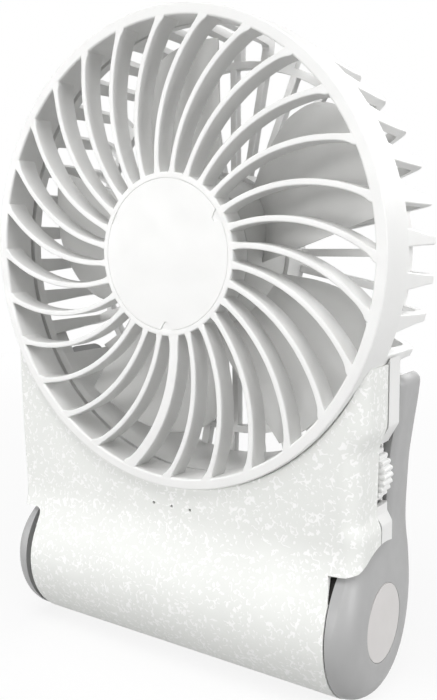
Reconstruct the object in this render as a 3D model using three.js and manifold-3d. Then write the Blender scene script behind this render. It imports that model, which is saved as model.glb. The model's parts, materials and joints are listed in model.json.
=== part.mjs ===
// Folding battery fan: a round fan head on a flat body that grows out of a battery barrel,
// with a swing-out stand hinged on the barrel's axis. Millimetres, +Z up, front towards -Y.
// Shapes are drawn in the fan's own frame: the origin is the centre of the grille's front face,
// X to the right, Y backwards along the fan's axis, Z up. The last group stands the whole thing
// on the ground, with its origin under the middle of the barrel.

import * as THREE from "three";
import { mergeVertices } from "three/addons/utils/BufferGeometryUtils.js";
import Module from "manifold-3d";

const wasm = await Module();
wasm.setup();

// Fits: the gap between pieces that touch, the overrun of a cut, the weld of shared corners
const gap = 0.3;
const overrun = 2;
const weld = 0.0001;

// Front grille
const ringRadius = 52.5;
const ringBand = 2.5;
const ringWallDepth = 8.3;
const ringSkirtDepth = 10.3;
const ringSkirt = 1;
const ringEdge = 0.6;
const hubRadius = 18;
const hubWall = 1.1;
const hubDepth = 5.6;
const hubWeb = 1.4;
const badgeThickness = 1.2;
const badgeNotch = 1.6;
const vaneWidth = 1.3;
const vaneThickWidth = 2.4;
const vaneDepth = 5.3;
const vaneBow = 37.8;
const vaneBowCentre = 41.1;

// Rear grille
const rearPlane = 30.8;
const cagePlate = 2.4;
const cageBar = 1.75;
const cageRingInset = 7.3;
const cageRingWidth = 2.4;
const cageRibRoot = 3.4;
const cageRibTip = 2;
const cageRibDepth = 2;
const cageLean = 1;
const cageCorner = 1.2;
const cageRim = 1.1;
const cageRimLap = 1.2;
const cageWall = 1.5;

const mountOverhang = 0.9;
const mountWall = 1.5;
const mountFloor = 1.8;
const mountBossWall = 1.5;
const mountBossHeight = 4;

// Impeller
const hubGap = 0.6;
const impellerBack = 22.4;
const impellerWall = 1.4;
const impellerFace = 1.6;
const impellerEdge = 1;
const impellerBoss = 3.4;
const impellerBossDepth = 2.8;
const bladeTipGap = 2.5;
const bladeFront = 12.5;
const bladeBack = 21.8;
const bladeThickness = 1.3;
const bladeEdgeOffset = 7.65;

// Motor
const yokeThickness = 1.1;
const yokeInset = 1;
const magnetThickness = 1.5;
const magnetInset = 1.2;
const airGap = 0.6;
const shaftRadius = 1;
const shaftRearGap = 0.5;
const bearingWall = 1.2;
const bearingInset = 0.3;
const bearingLength = 13.6;
const tubeWall = 0.9;
const tubeGap = 0.8;
const statorFront = 12.4;
const statorHeight = 6;
const statorRim = 2;
const statorNeck = 3.5;
const clipThickness = 0.6;
const clipWidth = 1.1;
const boardThickness = 1.2;
const motorBoardGap = 0.7;

// Body
const bodySideStep = 0.6;
const bodyFootInset = 0.1;
const neckHeight = 8.1;
const bodyFront = 1.6;
const bodyBack = 18;
const bodyEdge = 4.4;
const bodyWall = 1.7;
const seam = 12.2;
const boreWall = 1.2;
const waistDepth = 1.8;
const waistAbove = 6.4;
const waistAboveSlope = 4.5;
const waistBelow = 8.5;
const waistBelowSlope = 2.2;
const shoulderRise = 27;
const pivotBack = 13.5;
const barrelRadius = 17.3;
const barrelWall = 1.8;
const frontFillet = 8;

// Speed dial and its control
const dialRadius = 7.4;
const dialSink = 0.3;
const dialBoreGap = 0.95;
const dialFront = 12.6;
const dialThickness = 4.3;
const dialTooth = 0.5;
const dialPost = 1.6;
const dialPostTip = 1;
const dialPocketGap = 0.6;
const dialSlotHalf = 6.4;
const controlHalf = 3.8;

// Main board, lights and charging socket
const boardBack = 9.8;
const boardSideGap = 1.1;
const boardBelowScrew = 3.6;
const boardAboveCell = 10.1;
const lightRadius = 0.6;
const lightSpacing = 5.2;
const lightBelow = 4.9;
const socketWidth = 8.9;
const socketHeight = 3.2;
const socketDepth = 7.3;
const socketWall = 0.4;
const socketInset = 0.6;
const socketMargin = 0.4;
const socketTongue = 0.7;

// Battery and its cradle
const cellRadius = 9.2;
const cellLength = 65;
const cellButton = 3.2;
const cellButtonHeight = 0.9;
const contactRadius = 6;
const contactThickness = 0.5;
const cradleThickness = 1.6;
const cradlePlace = 22;

// Shell screws, by their places in from the body's side, out from the bore and over the barrel
const screwShank = 0.9;
const screwHead = 1.8;
const screwHeadHeight = 1.4;
const screwSink = 0.4;
const screwBoss = 3;
const screwTip = 2.4;
const screwUpperInset = 4;
const screwBoreGap = 3.05;
const screwLowerInset = 14;
const screwBarrelGap = 2.1;

// Hinge
const cheekGap = 0.5;
const cheekInset = 0.1;
const cheekThickness = 5.1;
const cheekEdge = 2.6;
const wingGap = 0.5;
const hingeShank = 2.5;
const hingeHead = 5;
const hingeHeadHeight = 1.3;
const capRadius = 8.5;
const capThickness = 1.3;
const washerRadius = 8;
const washerThickness = 0.8;
const nutRadius = 5;
const nutThickness = 2;
const hingeTail = 0.4;
const hingeTailGap = 1;

// Stand
const standGap = 0.6;
const standBackInset = 0.3;
const standSideStep = 1.2;
const standHeadGap = 1.1;
const standBarrelGap = 0.6;
const standLip = 1.7;
const standWall = 2.2;
const standEdge = 1.4;
const standCover = 1.5;
const standRib = 1.5;
const standRibPlace = 15;

// Counts and angles
const deg = Math.PI / 180;
const vaneCount = 28;
const vaneThickIndex = 21;
const vaneBowAngle = -67.05 * deg;
const badgeNotchCount = 3;
const badgeNotchStart = 30 * deg;
const badgeNotchHalfAngle = 5 * deg;
const cageBarCount = 32;
const cageRibCount = 38;
const cageRibStart = 2.6 * deg;
const cageWallStart = 205 * deg;
const cageWallEnd = 335 * deg;
const bladeCount = 5;
const bladeEdgeLean = 19.2 * deg;
const bladeBackAngle = 57 * deg;
const bladeCornerAngle = 27 * deg;
const statorPoles = 4;
const statorHeadHalfAngle = 38 * deg;
const clipOpenHalfAngle = 35 * deg;
const dialTeeth = 30;

// Shares of the sizes that they follow
const bladeCornerShare = 0.51;
const bladeRimShare = 0.45;
const standHeightShare = 0.692;
const standSideShares = [[1, 1], [0.77, 0.972], [0.6, 0.95], [0.38, 0.94], [0.16, 0.946], [0, 0.964]];
const windingShare = 0.29;

// Fineness of round forms
const ringSides = 48;
const barrelSides = 32;
const hubSides = 24;
const smallSides = 12;
const edgeSteps = 2;
const vaneSteps = 2;
const bladeSpanSteps = 5;
const bladeChordSteps = 4;
const bladeSpanPower = 1.4;
const standSideSteps = 7;

// Sizes worked out from the ones above
const ringInner = ringRadius - ringBand;
const bladeTip = ringInner - bladeTipGap;
const cageRingRadius = ringRadius - cageRingInset;
const badgeRadius = hubRadius - hubWall - gap;
const mountRadius = hubRadius + mountOverhang;
const cageRimRadius = ringRadius - ringSkirt - gap;
const cageFront = rearPlane - cagePlate;
const legRoot = ringSkirtDepth + gap;
const legRootRadius = ringRadius - gap;
const legTipRadius = legRootRadius - cageLean;
const boreRadius = ringRadius + gap;
const impellerFront = hubDepth + hubGap;
const yokeRadius = hubRadius - impellerWall - gap;
const yokeFront = impellerFront + impellerFace + gap;
const yokeBack = impellerBack - yokeInset;
const magnetRadius = yokeRadius - yokeThickness - gap;
const statorRadius = magnetRadius - magnetThickness - airGap;
const bearingRadius = shaftRadius + gap + bearingWall;
const tubeRadius = bearingRadius + gap + tubeWall;
const statorHub = tubeRadius + gap + statorRim;
const windingThickness = (statorRadius - statorHub) * windingShare;
const bossTip = impellerFront + impellerFace + impellerBossDepth;
const tubeFront = bossTip + tubeGap;
const tubeBack = rearPlane - mountFloor - gap;
const bearingFront = tubeFront + bearingInset;
const bearingBack = bearingFront + bearingLength;
const motorBoardFront = impellerBack + motorBoardGap;
const contactOut = cellLength / 2 + gap;
const stopOut = contactOut + contactThickness + gap;
const nutOut = stopOut + cradleThickness + hingeTailGap + hingeTail;
const washerOut = nutOut + nutThickness + gap;
const barrelHalf = washerOut + washerThickness + gap + barrelWall;
const headPlane = barrelHalf + cheekGap + cheekThickness;
const headSeat = headPlane - capThickness - gap - hingeHeadHeight;
const cheekRadius = barrelRadius - cheekInset;
const wingRadius = cheekRadius + wingGap;
const pivotDrop = ringRadius + neckHeight + barrelRadius;
const bodyHalfWidth = headPlane + bodySideStep;
const bodyFootHalfWidth = headPlane - bodyFootInset;
const screwUpperOut = bodyHalfWidth - screwUpperInset;
const screwUpperDrop = Math.sqrt((boreRadius + screwBoreGap) ** 2 - screwUpperOut ** 2);
const screwLowerOut = bodyHalfWidth - screwLowerInset;
const screwLowerDrop = pivotDrop - barrelRadius - screwBarrelGap;
const dialOut = bodyHalfWidth - dialSink - dialRadius;
const dialDrop = Math.sqrt((boreRadius + dialBoreGap + dialRadius) ** 2 - dialOut ** 2);
const dialBack = dialFront + dialThickness;
const lightDrop = ringRadius + lightBelow;
const socketDrop = (screwUpperDrop + screwBoss + pivotDrop - wingRadius - bodyWall) / 2;
const boardFront = boardBack - boardThickness;
const boardHalf = bodyHalfWidth - waistDepth - bodyWall - boardSideGap;
const boardTop = screwUpperDrop + boardBelowScrew;
const boardFoot = pivotDrop - cellRadius - boardAboveCell;
const standFront = bodyBack + standGap - pivotBack;
const standBack = barrelRadius - standBackInset;
const standHalfWidth = headPlane + standSideStep;
const standHeadRadius = ringRadius + standHeadGap;
const standBarrelRadius = barrelRadius + standBarrelGap;
const bottom = pivotDrop + barrelRadius;

// Looks of the materials
const whitePlastic = { color: 0xf6f6f4, roughness: 0.35, metalness: 0 };
const shellPlastic = { color: 0xecede9, roughness: 0.4, metalness: 0 };
const greyPlastic = { color: 0xbfbfbf, roughness: 0.5, metalness: 0 };
const palePlastic = { color: 0xd8d6d4, roughness: 0.45, metalness: 0 };
const steel = { color: 0xb4b6b8, roughness: 0.3, metalness: 1 };
const laminations = { color: 0x77797c, roughness: 0.55, metalness: 0.8 };
const ferrite = { color: 0x3a3a3c, roughness: 0.7, metalness: 0.1 };
const bronze = { color: 0xb08d57, roughness: 0.4, metalness: 1 };
const copper = { color: 0xb8733a, roughness: 0.35, metalness: 1 };
const board = { color: 0x2f6b45, roughness: 0.55, metalness: 0 };
const cellWrap = { color: 0x3d6fa3, roughness: 0.4, metalness: 0 };
const clearPlastic = { color: 0xf4f8ff, roughness: 0.2, metalness: 0 };
const fibre = { color: 0x6b4a35, roughness: 0.8, metalness: 0 };

// A closed solid for cutting and joining, from a geometry whose faces point out
function solid(geometry) {
  const bare = geometry.clone();
  bare.deleteAttribute("normal");
  bare.deleteAttribute("uv");
  const welded = mergeVertices(bare, weld);
  const index = welded.index.array;
  const corners = [];
  for (let i = 0; i < index.length; i += 3) {
    const [a, b, c] = index.slice(i, i + 3);
    if (a !== b && b !== c && c !== a) corners.push(a, b, c);
  }
  const mesh = new wasm.Mesh({
    numProp: 3,
    vertProperties: Float32Array.from(welded.attributes.position.array),
    triVerts: Uint32Array.from(corners),
  });
  return new wasm.Manifold(mesh);
}

// The finished form of a closed solid, with flat facets
function formOf(body) {
  const { vertProperties, triVerts } = body.getMesh();
  const shared = new THREE.BufferGeometry();
  shared.setAttribute("position", new THREE.BufferAttribute(vertProperties, 3));
  shared.setIndex(new THREE.BufferAttribute(triVerts, 1));
  const form = shared.toNonIndexed();
  form.computeVertexNormals();
  return form;
}

function joined(bodies) {
  return bodies.reduce((sum, body) => sum.add(body));
}

// An outline in x and z, as thick as the stretch from front to back along the fan's axis
function plate(shape, front, back, sides = smallSides) {
  const options = { depth: back - front, bevelEnabled: false, curveSegments: sides / 2 };
  const geometry = new THREE.ExtrudeGeometry(shape, options);
  geometry.rotateX(Math.PI / 2);
  geometry.translate(0, back, 0);
  return geometry;
}

// The same, with both rims rounded: each round begins where the straight stretch ends
function roundedPlate(shape, front, back, round) {
  const geometry = new THREE.ExtrudeGeometry(shape, {
    depth: back - front,
    bevelEnabled: true,
    bevelThickness: round,
    bevelSize: round,
    bevelOffset: -round,
    bevelSegments: edgeSteps,
    curveSegments: standSideSteps,
  });
  geometry.rotateX(Math.PI / 2);
  geometry.translate(0, back, 0);
  return geometry;
}

// An outline in y and z, as wide as the stretch from left to right
function crossPlate(shape, left, right, sides = smallSides) {
  const options = { depth: right - left, bevelEnabled: false, curveSegments: sides / 2 };
  const geometry = new THREE.ExtrudeGeometry(shape, options);
  geometry.rotateX(Math.PI / 2);
  geometry.rotateZ(Math.PI / 2);
  geometry.translate(left, 0, 0);
  return geometry;
}

function drum(radius, front, back, sides = smallSides) {
  const geometry = new THREE.CylinderGeometry(radius, radius, back - front, sides);
  geometry.translate(0, (front + back) / 2, 0);
  return geometry;
}

function rod(radius, left, right, sides = smallSides) {
  const geometry = drum(radius, left, right, sides);
  geometry.rotateZ(-Math.PI / 2);
  return geometry;
}

function block(left, right, front, back, low, high) {
  const geometry = new THREE.BoxGeometry(right - left, back - front, high - low);
  geometry.translate((left + right) / 2, (front + back) / 2, (low + high) / 2);
  return geometry;
}

// A turned form round the fan's axis, from points of radius and depth
function turned(profile, sides = smallSides) {
  const points = profile.map(([radius, depth]) => new THREE.Vector2(radius, depth));
  return new THREE.LatheGeometry(points, sides);
}

// A turned form round an axis along x
function turnedAcross(profile, sides = smallSides) {
  const geometry = turned(profile, sides);
  geometry.rotateZ(-Math.PI / 2);
  return geometry;
}

// A square-edged ring round the fan's axis
function collar(inner, outer, front, back, sides = smallSides) {
  return turned([[inner, front], [outer, front], [outer, back], [inner, back], [inner, front]], sides);
}

// Points of a quarter round in a profile, from one angle to another about its centre
function quarter(radius, depth, round, from, to, steps = edgeSteps) {
  const points = [];
  for (let i = 0; i <= steps; i += 1) {
    const angle = (from + (to - from) * (i / steps)) * deg;
    points.push([radius + round * Math.cos(angle), depth + round * Math.sin(angle)]);
  }
  return points;
}

// A band between two radii, from one angle to another about a centre
function band(inner, outer, from, to, x = 0, z = 0) {
  const shape = new THREE.Shape();
  shape.absarc(x, z, outer, from, to, false);
  shape.absarc(x, z, inner, to, from, true);
  return shape;
}

function polygon(points) {
  return new THREE.Shape(points.map(([x, z]) => new THREE.Vector2(x, z)));
}

function oblong(halfWidth, halfHeight) {
  const shape = new THREE.Shape();
  shape.absarc(0, halfWidth - halfHeight, halfHeight, 0, Math.PI, false);
  shape.absarc(0, halfHeight - halfWidth, halfHeight, Math.PI, 2 * Math.PI, false);
  return shape;
}

// A geometry turned about the fan's axis, from the +X direction towards +Z
function aroundFan(geometry, angle) {
  const copy = geometry.clone();
  copy.rotateY(-angle);
  return copy;
}

function moved(geometry, x, y, z) {
  geometry.translate(x, y, z);
  return geometry;
}

// Everything behind a plane across the fan's axis, or in front of it
function behind(plane) {
  const far = bottom + rearPlane;
  return solid(block(-far, far, plane, far, -far, far));
}

function before(plane) {
  const far = bottom + rearPlane;
  return solid(block(-far, far, -far, plane, -far, far));
}

function piece(group, name, geometry, finish) {
  const mesh = new THREE.Mesh(geometry, new THREE.MeshStandardMaterial(finish));
  mesh.name = name;
  group.add(mesh);
  return mesh;
}

// Front grille: a rim with a skirt, a hub cup with a shallow recess, and swept vanes between
function frontGrille() {
  const lip = ringEdge;
  const rim = turned([
    [ringInner, ringWallDepth],
    ...quarter(ringInner + lip, lip, lip, 180, 270, 1),
    ...quarter(ringRadius - lip, lip, lip, 270, 360, 1),
    [ringRadius, ringSkirtDepth],
    [ringRadius - ringSkirt, ringSkirtDepth],
    [ringRadius - ringSkirt, ringWallDepth],
    [ringInner, ringWallDepth],
  ], ringSides);
  const seat = badgeThickness + gap;
  const cup = turned([
    [0, seat],
    [hubRadius - hubWall, seat],
    [hubRadius - hubWall, 0],
    [hubRadius, 0],
    [hubRadius, hubDepth],
    [hubRadius - hubWall, hubDepth],
    [hubRadius - hubWall, seat + hubWeb],
    [0, seat + hubWeb],
  ], hubSides);
  const bodies = [solid(rim), solid(cup)];
  for (let i = 0; i < vaneCount; i += 1) bodies.push(solid(vane(i)));
  return formOf(joined(bodies));
}

// One vane: a band of a circle, from inside the hub's wall to inside the rim
function vane(index) {
  const turn = ((index + 0.5) / vaneCount) * 2 * Math.PI;
  const half = (index === vaneThickIndex ? vaneThickWidth : vaneWidth) / 2;
  const heading = turn + vaneBowAngle;
  const from = vaneAngle(heading, hubRadius - hubWall / 2);
  const to = vaneAngle(heading, ringInner + ringBand / 2);
  const x = vaneBowCentre * Math.cos(heading);
  const z = vaneBowCentre * Math.sin(heading);
  return plate(band(vaneBow - half, vaneBow + half, to, from, x, z), 0, vaneDepth, 2 * vaneSteps);
}

// Where a vane's circle reaches a distance from the fan's axis, as an angle about its own centre
function vaneAngle(heading, radius) {
  const numerator = vaneBowCentre ** 2 + vaneBow ** 2 - radius ** 2;
  return heading + Math.PI - Math.acos(numerator / (2 * vaneBowCentre * vaneBow));
}

// Badge: a plain disc with three notches in its edge
function hubBadge() {
  const shape = new THREE.Shape();
  const step = (2 * Math.PI) / badgeNotchCount;
  for (let i = 0; i < badgeNotchCount; i += 1) {
    const notch = badgeNotchStart + i * step;
    const half = badgeNotchHalfAngle;
    shape.absarc(0, 0, badgeRadius, notch + half, notch + step - half, false);
    shape.absarc(0, 0, badgeRadius - badgeNotch, notch + step - half / 2, notch + step + half / 2, false);
  }
  return plate(shape, 0, badgeThickness, smallSides / 2);
}

// Rear grille: radial bars, a ring, ribs that turn forward as legs, a rim and the motor's mount
function rearGrille() {
  const ringIn = cageRingRadius - cageRingWidth / 2;
  const ringOut = cageRingRadius + cageRingWidth / 2;
  const bodies = [
    solid(collar(ringIn, ringOut, cageFront, rearPlane, ringSides)),
    solid(collar(cageRimRadius - cageRim, cageRimRadius, ringWallDepth + gap, legRoot + cageRimLap, ringSides)),
    solid(motorMount()),
    solid(cageWallBand()),
  ];
  const bar = block(mountRadius - mountWall / 2, cageRingRadius, cageFront, rearPlane, -cageBar / 2, cageBar / 2);
  for (let i = 0; i < cageBarCount; i += 1) {
    bodies.push(solid(aroundFan(bar, (i / cageBarCount) * 2 * Math.PI)));
  }
  const long = cageRib(true);
  const short = cageRib(false);
  for (let i = 0; i < cageRibCount; i += 1) {
    const angle = cageRibStart + (i / cageRibCount) * 2 * Math.PI;
    const walled = angle > cageWallStart && angle < cageWallEnd;
    bodies.push(solid(aroundFan(walled ? short : long, angle)));
  }
  return formOf(joined(bodies));
}

// The closed stretch of the cage's side, where the body holds it
function cageWallBand() {
  const outer = legTipRadius + cageLean / 2;
  const sides = Math.round((ringSides * (cageWallEnd - cageWallStart)) / (4 * Math.PI)) * 2;
  const shape = band(outer - cageWall, outer, cageWallStart, cageWallEnd);
  return plate(shape, legRoot, cageFront + cagePlate / 2, sides);
}

// One rib: flat at the back, then round the corner and forward as a leg that widens to its root
function cageRib(withLeg) {
  const inside = cageRingRadius;
  const tip = legTipRadius;
  const half = cageRibTip / 2;
  if (!withLeg) return block(inside, tip, cageFront, rearPlane - cageCorner / 2, -half, half);
  const shape = new THREE.Shape();
  shape.moveTo(inside, rearPlane);
  shape.lineTo(inside, cageFront);
  shape.lineTo(tip - cageRibDepth, cageFront);
  shape.lineTo(legRootRadius - cageRibDepth, legRoot);
  shape.lineTo(legRootRadius, legRoot);
  shape.lineTo(tip, rearPlane - cageCorner);
  shape.lineTo(tip - cageCorner, rearPlane);
  const options = { depth: cageRibRoot, bevelEnabled: false };
  const geometry = new THREE.ExtrudeGeometry(shape, options);
  geometry.translate(0, 0, -cageRibRoot / 2);
  narrowTowards(geometry, legRoot, cageFront, cageRibTip / cageRibRoot);
  return geometry;
}

// Narrow a rib from its root to its tip, by a share of its width
function narrowTowards(geometry, root, tip, share) {
  const points = geometry.attributes.position;
  for (let i = 0; i < points.count; i += 1) {
    const along = Math.min(1, Math.max(0, (points.getY(i) - root) / (tip - root)));
    points.setZ(i, points.getZ(i) * (1 + (share - 1) * along));
  }
}

// The cup behind the impeller that holds the motor's board and the bearing tube
function motorMount() {
  const floor = rearPlane - mountFloor;
  const hole = tubeRadius + gap;
  return turned([
    [0, floor],
    [hole, floor],
    [hole, floor - mountBossHeight],
    [hole + mountBossWall, floor - mountBossHeight],
    [hole + mountBossWall, floor],
    [mountRadius - mountWall, floor],
    [mountRadius - mountWall, impellerBack + gap],
    [mountRadius, impellerBack + gap],
    [mountRadius, rearPlane],
    [0, rearPlane],
  ], hubSides);
}

// Impeller: a hub cup with a boss for the shaft, and five blades that sweep forward
function impeller() {
  const face = impellerFront + impellerFace;
  const hole = shaftRadius + gap;
  const cup = turned([
    [0, impellerFront],
    ...quarter(hubRadius - impellerEdge, impellerFront + impellerEdge, impellerEdge, 270, 360),
    [hubRadius, impellerBack],
    [hubRadius - impellerWall, impellerBack],
    [hubRadius - impellerWall, face],
    [impellerBoss, face],
    [impellerBoss, bossTip],
    [hole, bossTip],
    [hole, face - gap],
    [0, face - gap],
  ], hubSides);
  const bodies = [solid(cup)];
  for (let i = 0; i < bladeCount; i += 1) {
    bodies.push(solid(aroundFan(blade(), (i / bladeCount) * 2 * Math.PI)));
  }
  return formOf(joined(bodies));
}

// The blade's straight edge, as an angle at a distance from the axis
function bladeEdge(radius) {
  return bladeEdgeLean - Math.asin(bladeEdgeOffset / radius);
}

// The blade's rear edge, which turns a wide corner towards the tip
function bladeRear(radius) {
  const cornerStart = hubRadius + (bladeTip - hubRadius) * bladeCornerShare;
  const into = Math.max(0, (radius - cornerStart) / (bladeTip - cornerStart));
  return bladeCornerAngle + (bladeBackAngle - bladeCornerAngle) * Math.sqrt(Math.max(0, 1 - into ** 2));
}

// A point on one side of the blade: a twisted sheet that climbs backwards as it turns
function bladePoint(span, chord, side) {
  const root = hubRadius - impellerWall / 2;
  const radius = root + (bladeTip - root) * (1 - (1 - span) ** bladeSpanPower);
  const start = bladeEdge(radius);
  const angle = start + (bladeRear(radius) - start) * chord;
  const slope = (bladeBack - bladeFront) / (bladeBackAngle - start);
  const depth = bladeFront + slope * (angle - start);
  const rise = Math.atan2(slope, radius);
  const fullness = bladeRimShare + (1 - bladeRimShare) * Math.sin(Math.PI * chord);
  const half = (side * bladeThickness * fullness) / 2;
  const offset = angle - (half * Math.sin(rise)) / radius;
  return [radius * Math.cos(offset), depth + half * Math.cos(rise), radius * Math.sin(offset)];
}

// One blade, as two skins of points closed round their rim
function blade() {
  const points = [];
  const corners = [];
  const spans = bladeSpanSteps + 1;
  const chords = bladeChordSteps + 1;
  const at = (side, i, j) => side * spans * chords + i * chords + j;
  for (let side = 0; side < 2; side += 1) {
    for (let i = 0; i < spans; i += 1) {
      for (let j = 0; j < chords; j += 1) {
        points.push(...bladePoint(i / bladeSpanSteps, j / bladeChordSteps, 1 - 2 * side));
      }
    }
  }
  const quad = (a, b, c, d) => corners.push(a, b, c, a, c, d);
  for (let i = 0; i < bladeSpanSteps; i += 1) {
    for (let j = 0; j < bladeChordSteps; j += 1) {
      quad(at(0, i, j), at(0, i, j + 1), at(0, i + 1, j + 1), at(0, i + 1, j));
      quad(at(1, i, j), at(1, i + 1, j), at(1, i + 1, j + 1), at(1, i, j + 1));
    }
    quad(at(0, i, 0), at(0, i + 1, 0), at(1, i + 1, 0), at(1, i, 0));
    quad(at(0, i + 1, bladeChordSteps), at(0, i, bladeChordSteps), at(1, i, bladeChordSteps), at(1, i + 1, bladeChordSteps));
  }
  for (let j = 0; j < bladeChordSteps; j += 1) {
    quad(at(0, 0, j + 1), at(0, 0, j), at(1, 0, j), at(1, 0, j + 1));
    quad(at(0, bladeSpanSteps, j), at(0, bladeSpanSteps, j + 1), at(1, bladeSpanSteps, j + 1), at(1, bladeSpanSteps, j));
  }
  const geometry = new THREE.BufferGeometry();
  geometry.setAttribute("position", new THREE.Float32BufferAttribute(points, 3));
  geometry.setIndex(corners);
  return geometry;
}

// Steel cup that carries the magnet inside the impeller's hub
function rotorYoke() {
  const inner = yokeRadius - yokeThickness;
  return turned([
    [impellerBoss + gap, yokeFront],
    [yokeRadius, yokeFront],
    [yokeRadius, yokeBack],
    [inner, yokeBack],
    [inner, yokeFront + yokeThickness],
    [impellerBoss + gap, yokeFront + yokeThickness],
    [impellerBoss + gap, yokeFront],
  ], hubSides);
}

// Stator: a ring with four poles that end in broad curved heads
function statorCore() {
  const back = statorFront + statorHeight;
  const bodies = [solid(collar(tubeRadius + gap, statorHub, statorFront, back))];
  const neckEnd = statorRadius - windingThickness / 2;
  for (let i = 0; i < statorPoles; i += 1) {
    const angle = (i / statorPoles) * 2 * Math.PI;
    const neck = block(statorHub - statorRim / 2, neckEnd, statorFront, back, -statorNeck / 2, statorNeck / 2);
    const span = statorHeadHalfAngle;
    const arc = band(statorRadius - windingThickness, statorRadius, -span, span);
    const head = plate(arc, statorFront, back, smallSides / 2);
    bodies.push(solid(aroundFan(neck, angle)), solid(aroundFan(head, angle)));
  }
  return formOf(joined(bodies));
}

// One coil: a wound block round a pole's neck, along +X
function coil() {
  const hole = statorNeck / 2 + gap;
  const half = hole + windingThickness;
  const deep = statorHeight / 2 + gap;
  const reach = Math.sqrt((statorRadius - windingThickness - gap) ** 2 - half ** 2);
  const start = statorHub + gap;
  const round = windingThickness / 2;
  const end = deep + windingThickness - round;
  const outline = new THREE.Shape();
  outline.absarc(end, half - round, round, 0, Math.PI / 2, false);
  outline.absarc(-end, half - round, round, Math.PI / 2, Math.PI, false);
  outline.absarc(-end, round - half, round, Math.PI, 1.5 * Math.PI, false);
  outline.absarc(end, round - half, round, 1.5 * Math.PI, 2 * Math.PI, false);
  outline.holes.push(polygon([[-deep, -hole], [-deep, hole], [deep, hole], [deep, -hole]]));
  return crossPlate(outline, start, reach, edgeSteps);
}

// Clip that keeps the shaft in its bearing: a ring with a mouth
function shaftClip() {
  const inner = shaftRadius + gap;
  const shape = band(inner, inner + clipWidth, clipOpenHalfAngle, 2 * Math.PI - clipOpenHalfAngle);
  const front = bearingBack + gap;
  return plate(shape, front, front + clipThickness);
}

// Motor's board, a disc on the bearing tube
function motorBoard() {
  const front = motorBoardFront;
  return collar(tubeRadius + gap, mountRadius - mountWall - 2 * gap, front, front + boardThickness, hubSides);
}

// The body's outline, seen from the front, drawn in by an inset
function bodyOutline(inset) {
  const waist = bodyHalfWidth - waistDepth - inset;
  const foot = -pivotDrop + barrelRadius / 2;
  return polygon([
    [bodyHalfWidth - inset, shoulderRise - dialDrop],
    [bodyHalfWidth - inset, waistAbove + waistAboveSlope - dialDrop],
    [waist, waistAbove - dialDrop],
    [waist, -waistBelow - dialDrop],
    [bodyFootHalfWidth - inset, -waistBelow - waistBelowSlope - dialDrop],
    [bodyFootHalfWidth - inset, foot],
    [inset - bodyFootHalfWidth, foot],
    [inset - bodyHalfWidth, shoulderRise - dialDrop],
  ]);
}

// A rod along the hinge's axis
function hingeRod(radius, left, right, sides = barrelSides) {
  return moved(rod(radius, left, right, sides), 0, pivotBack, -pivotDrop);
}

// The two ends beyond the barrel, as far round the hinge as the stand's cheeks reach
function wingCuts(radius, from) {
  const far = headPlane + overrun;
  return solid(hingeRod(radius, from, far)).add(solid(hingeRod(radius, -far, -from)));
}

// The hollow curve that leads the flat front into the barrel, seen from the side
function filletShape() {
  const y = bodyFront - frontFillet;
  const rise = Math.sqrt((barrelRadius + frontFillet) ** 2 - (pivotBack - y) ** 2);
  const z = rise - pivotDrop;
  const shape = new THREE.Shape();
  shape.absarc(y, z, frontFillet, 0, -Math.atan2(rise, pivotBack - y), true);
  shape.lineTo(pivotBack, -pivotDrop);
  shape.lineTo(pivotBack, z);
  return shape;
}

// The whole body as one solid lump
function bodyLump() {
  const front = bodyFront + bodyEdge;
  const slab = solid(roundedPlate(bodyOutline(0), front, bodyBack, bodyEdge)).subtract(behind(bodyBack));
  const wings = slab.subtract(wingCuts(wingRadius, barrelHalf));
  const fillet = solid(crossPlate(filletShape(), -barrelHalf, barrelHalf, 4 * edgeSteps));
  const barrel = solid(hingeRod(barrelRadius, -barrelHalf, barrelHalf));
  return joined([wings, fillet, barrel]);
}

// The room inside the body: a flat part behind the front and a round part for the battery
function bodyRoom() {
  const slab = solid(plate(bodyOutline(bodyWall), bodyFront + bodyWall, bodyBack - bodyWall));
  const flat = slab
    .subtract(wingCuts(wingRadius + bodyWall, barrelHalf - barrelWall))
    .subtract(solid(drum(boreRadius + boreWall, 0, rearPlane, ringSides)));
  const end = barrelHalf - barrelWall;
  return flat.add(solid(hingeRod(barrelRadius - barrelWall, -end, end)));
}

function screwPlaces() {
  return [
    [-screwUpperOut, -screwUpperDrop],
    [screwUpperOut, -screwUpperDrop],
    [-screwLowerOut, -screwLowerDrop],
    [screwLowerOut, -screwLowerDrop],
  ];
}

function screwSeat() {
  return bodyBack - screwSink - screwHeadHeight;
}

// Ribs and walls across the barrel that hold the cell and its contacts, and the screws' bosses
function bodyFittings() {
  const inside = barrelRadius - barrelWall / 2;
  const bodies = [];
  for (const side of [-1, 1]) {
    const ribs = [side * cradlePlace, side * (stopOut + cradleThickness / 2)];
    const [rib, stop] = ribs.map((x) => hingeRod(inside, x - cradleThickness / 2, x + cradleThickness / 2));
    bodies.push(solid(rib).subtract(solid(hingeRod(cellRadius + gap, -cellLength, cellLength))), solid(stop));
  }
  for (const [x, z] of screwPlaces()) {
    const boss = drum(screwBoss, bodyFront + bodyWall / 2, bodyBack - bodyWall / 2);
    bodies.push(solid(moved(boss, x, 0, z)));
  }
  return joined(bodies);
}

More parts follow.
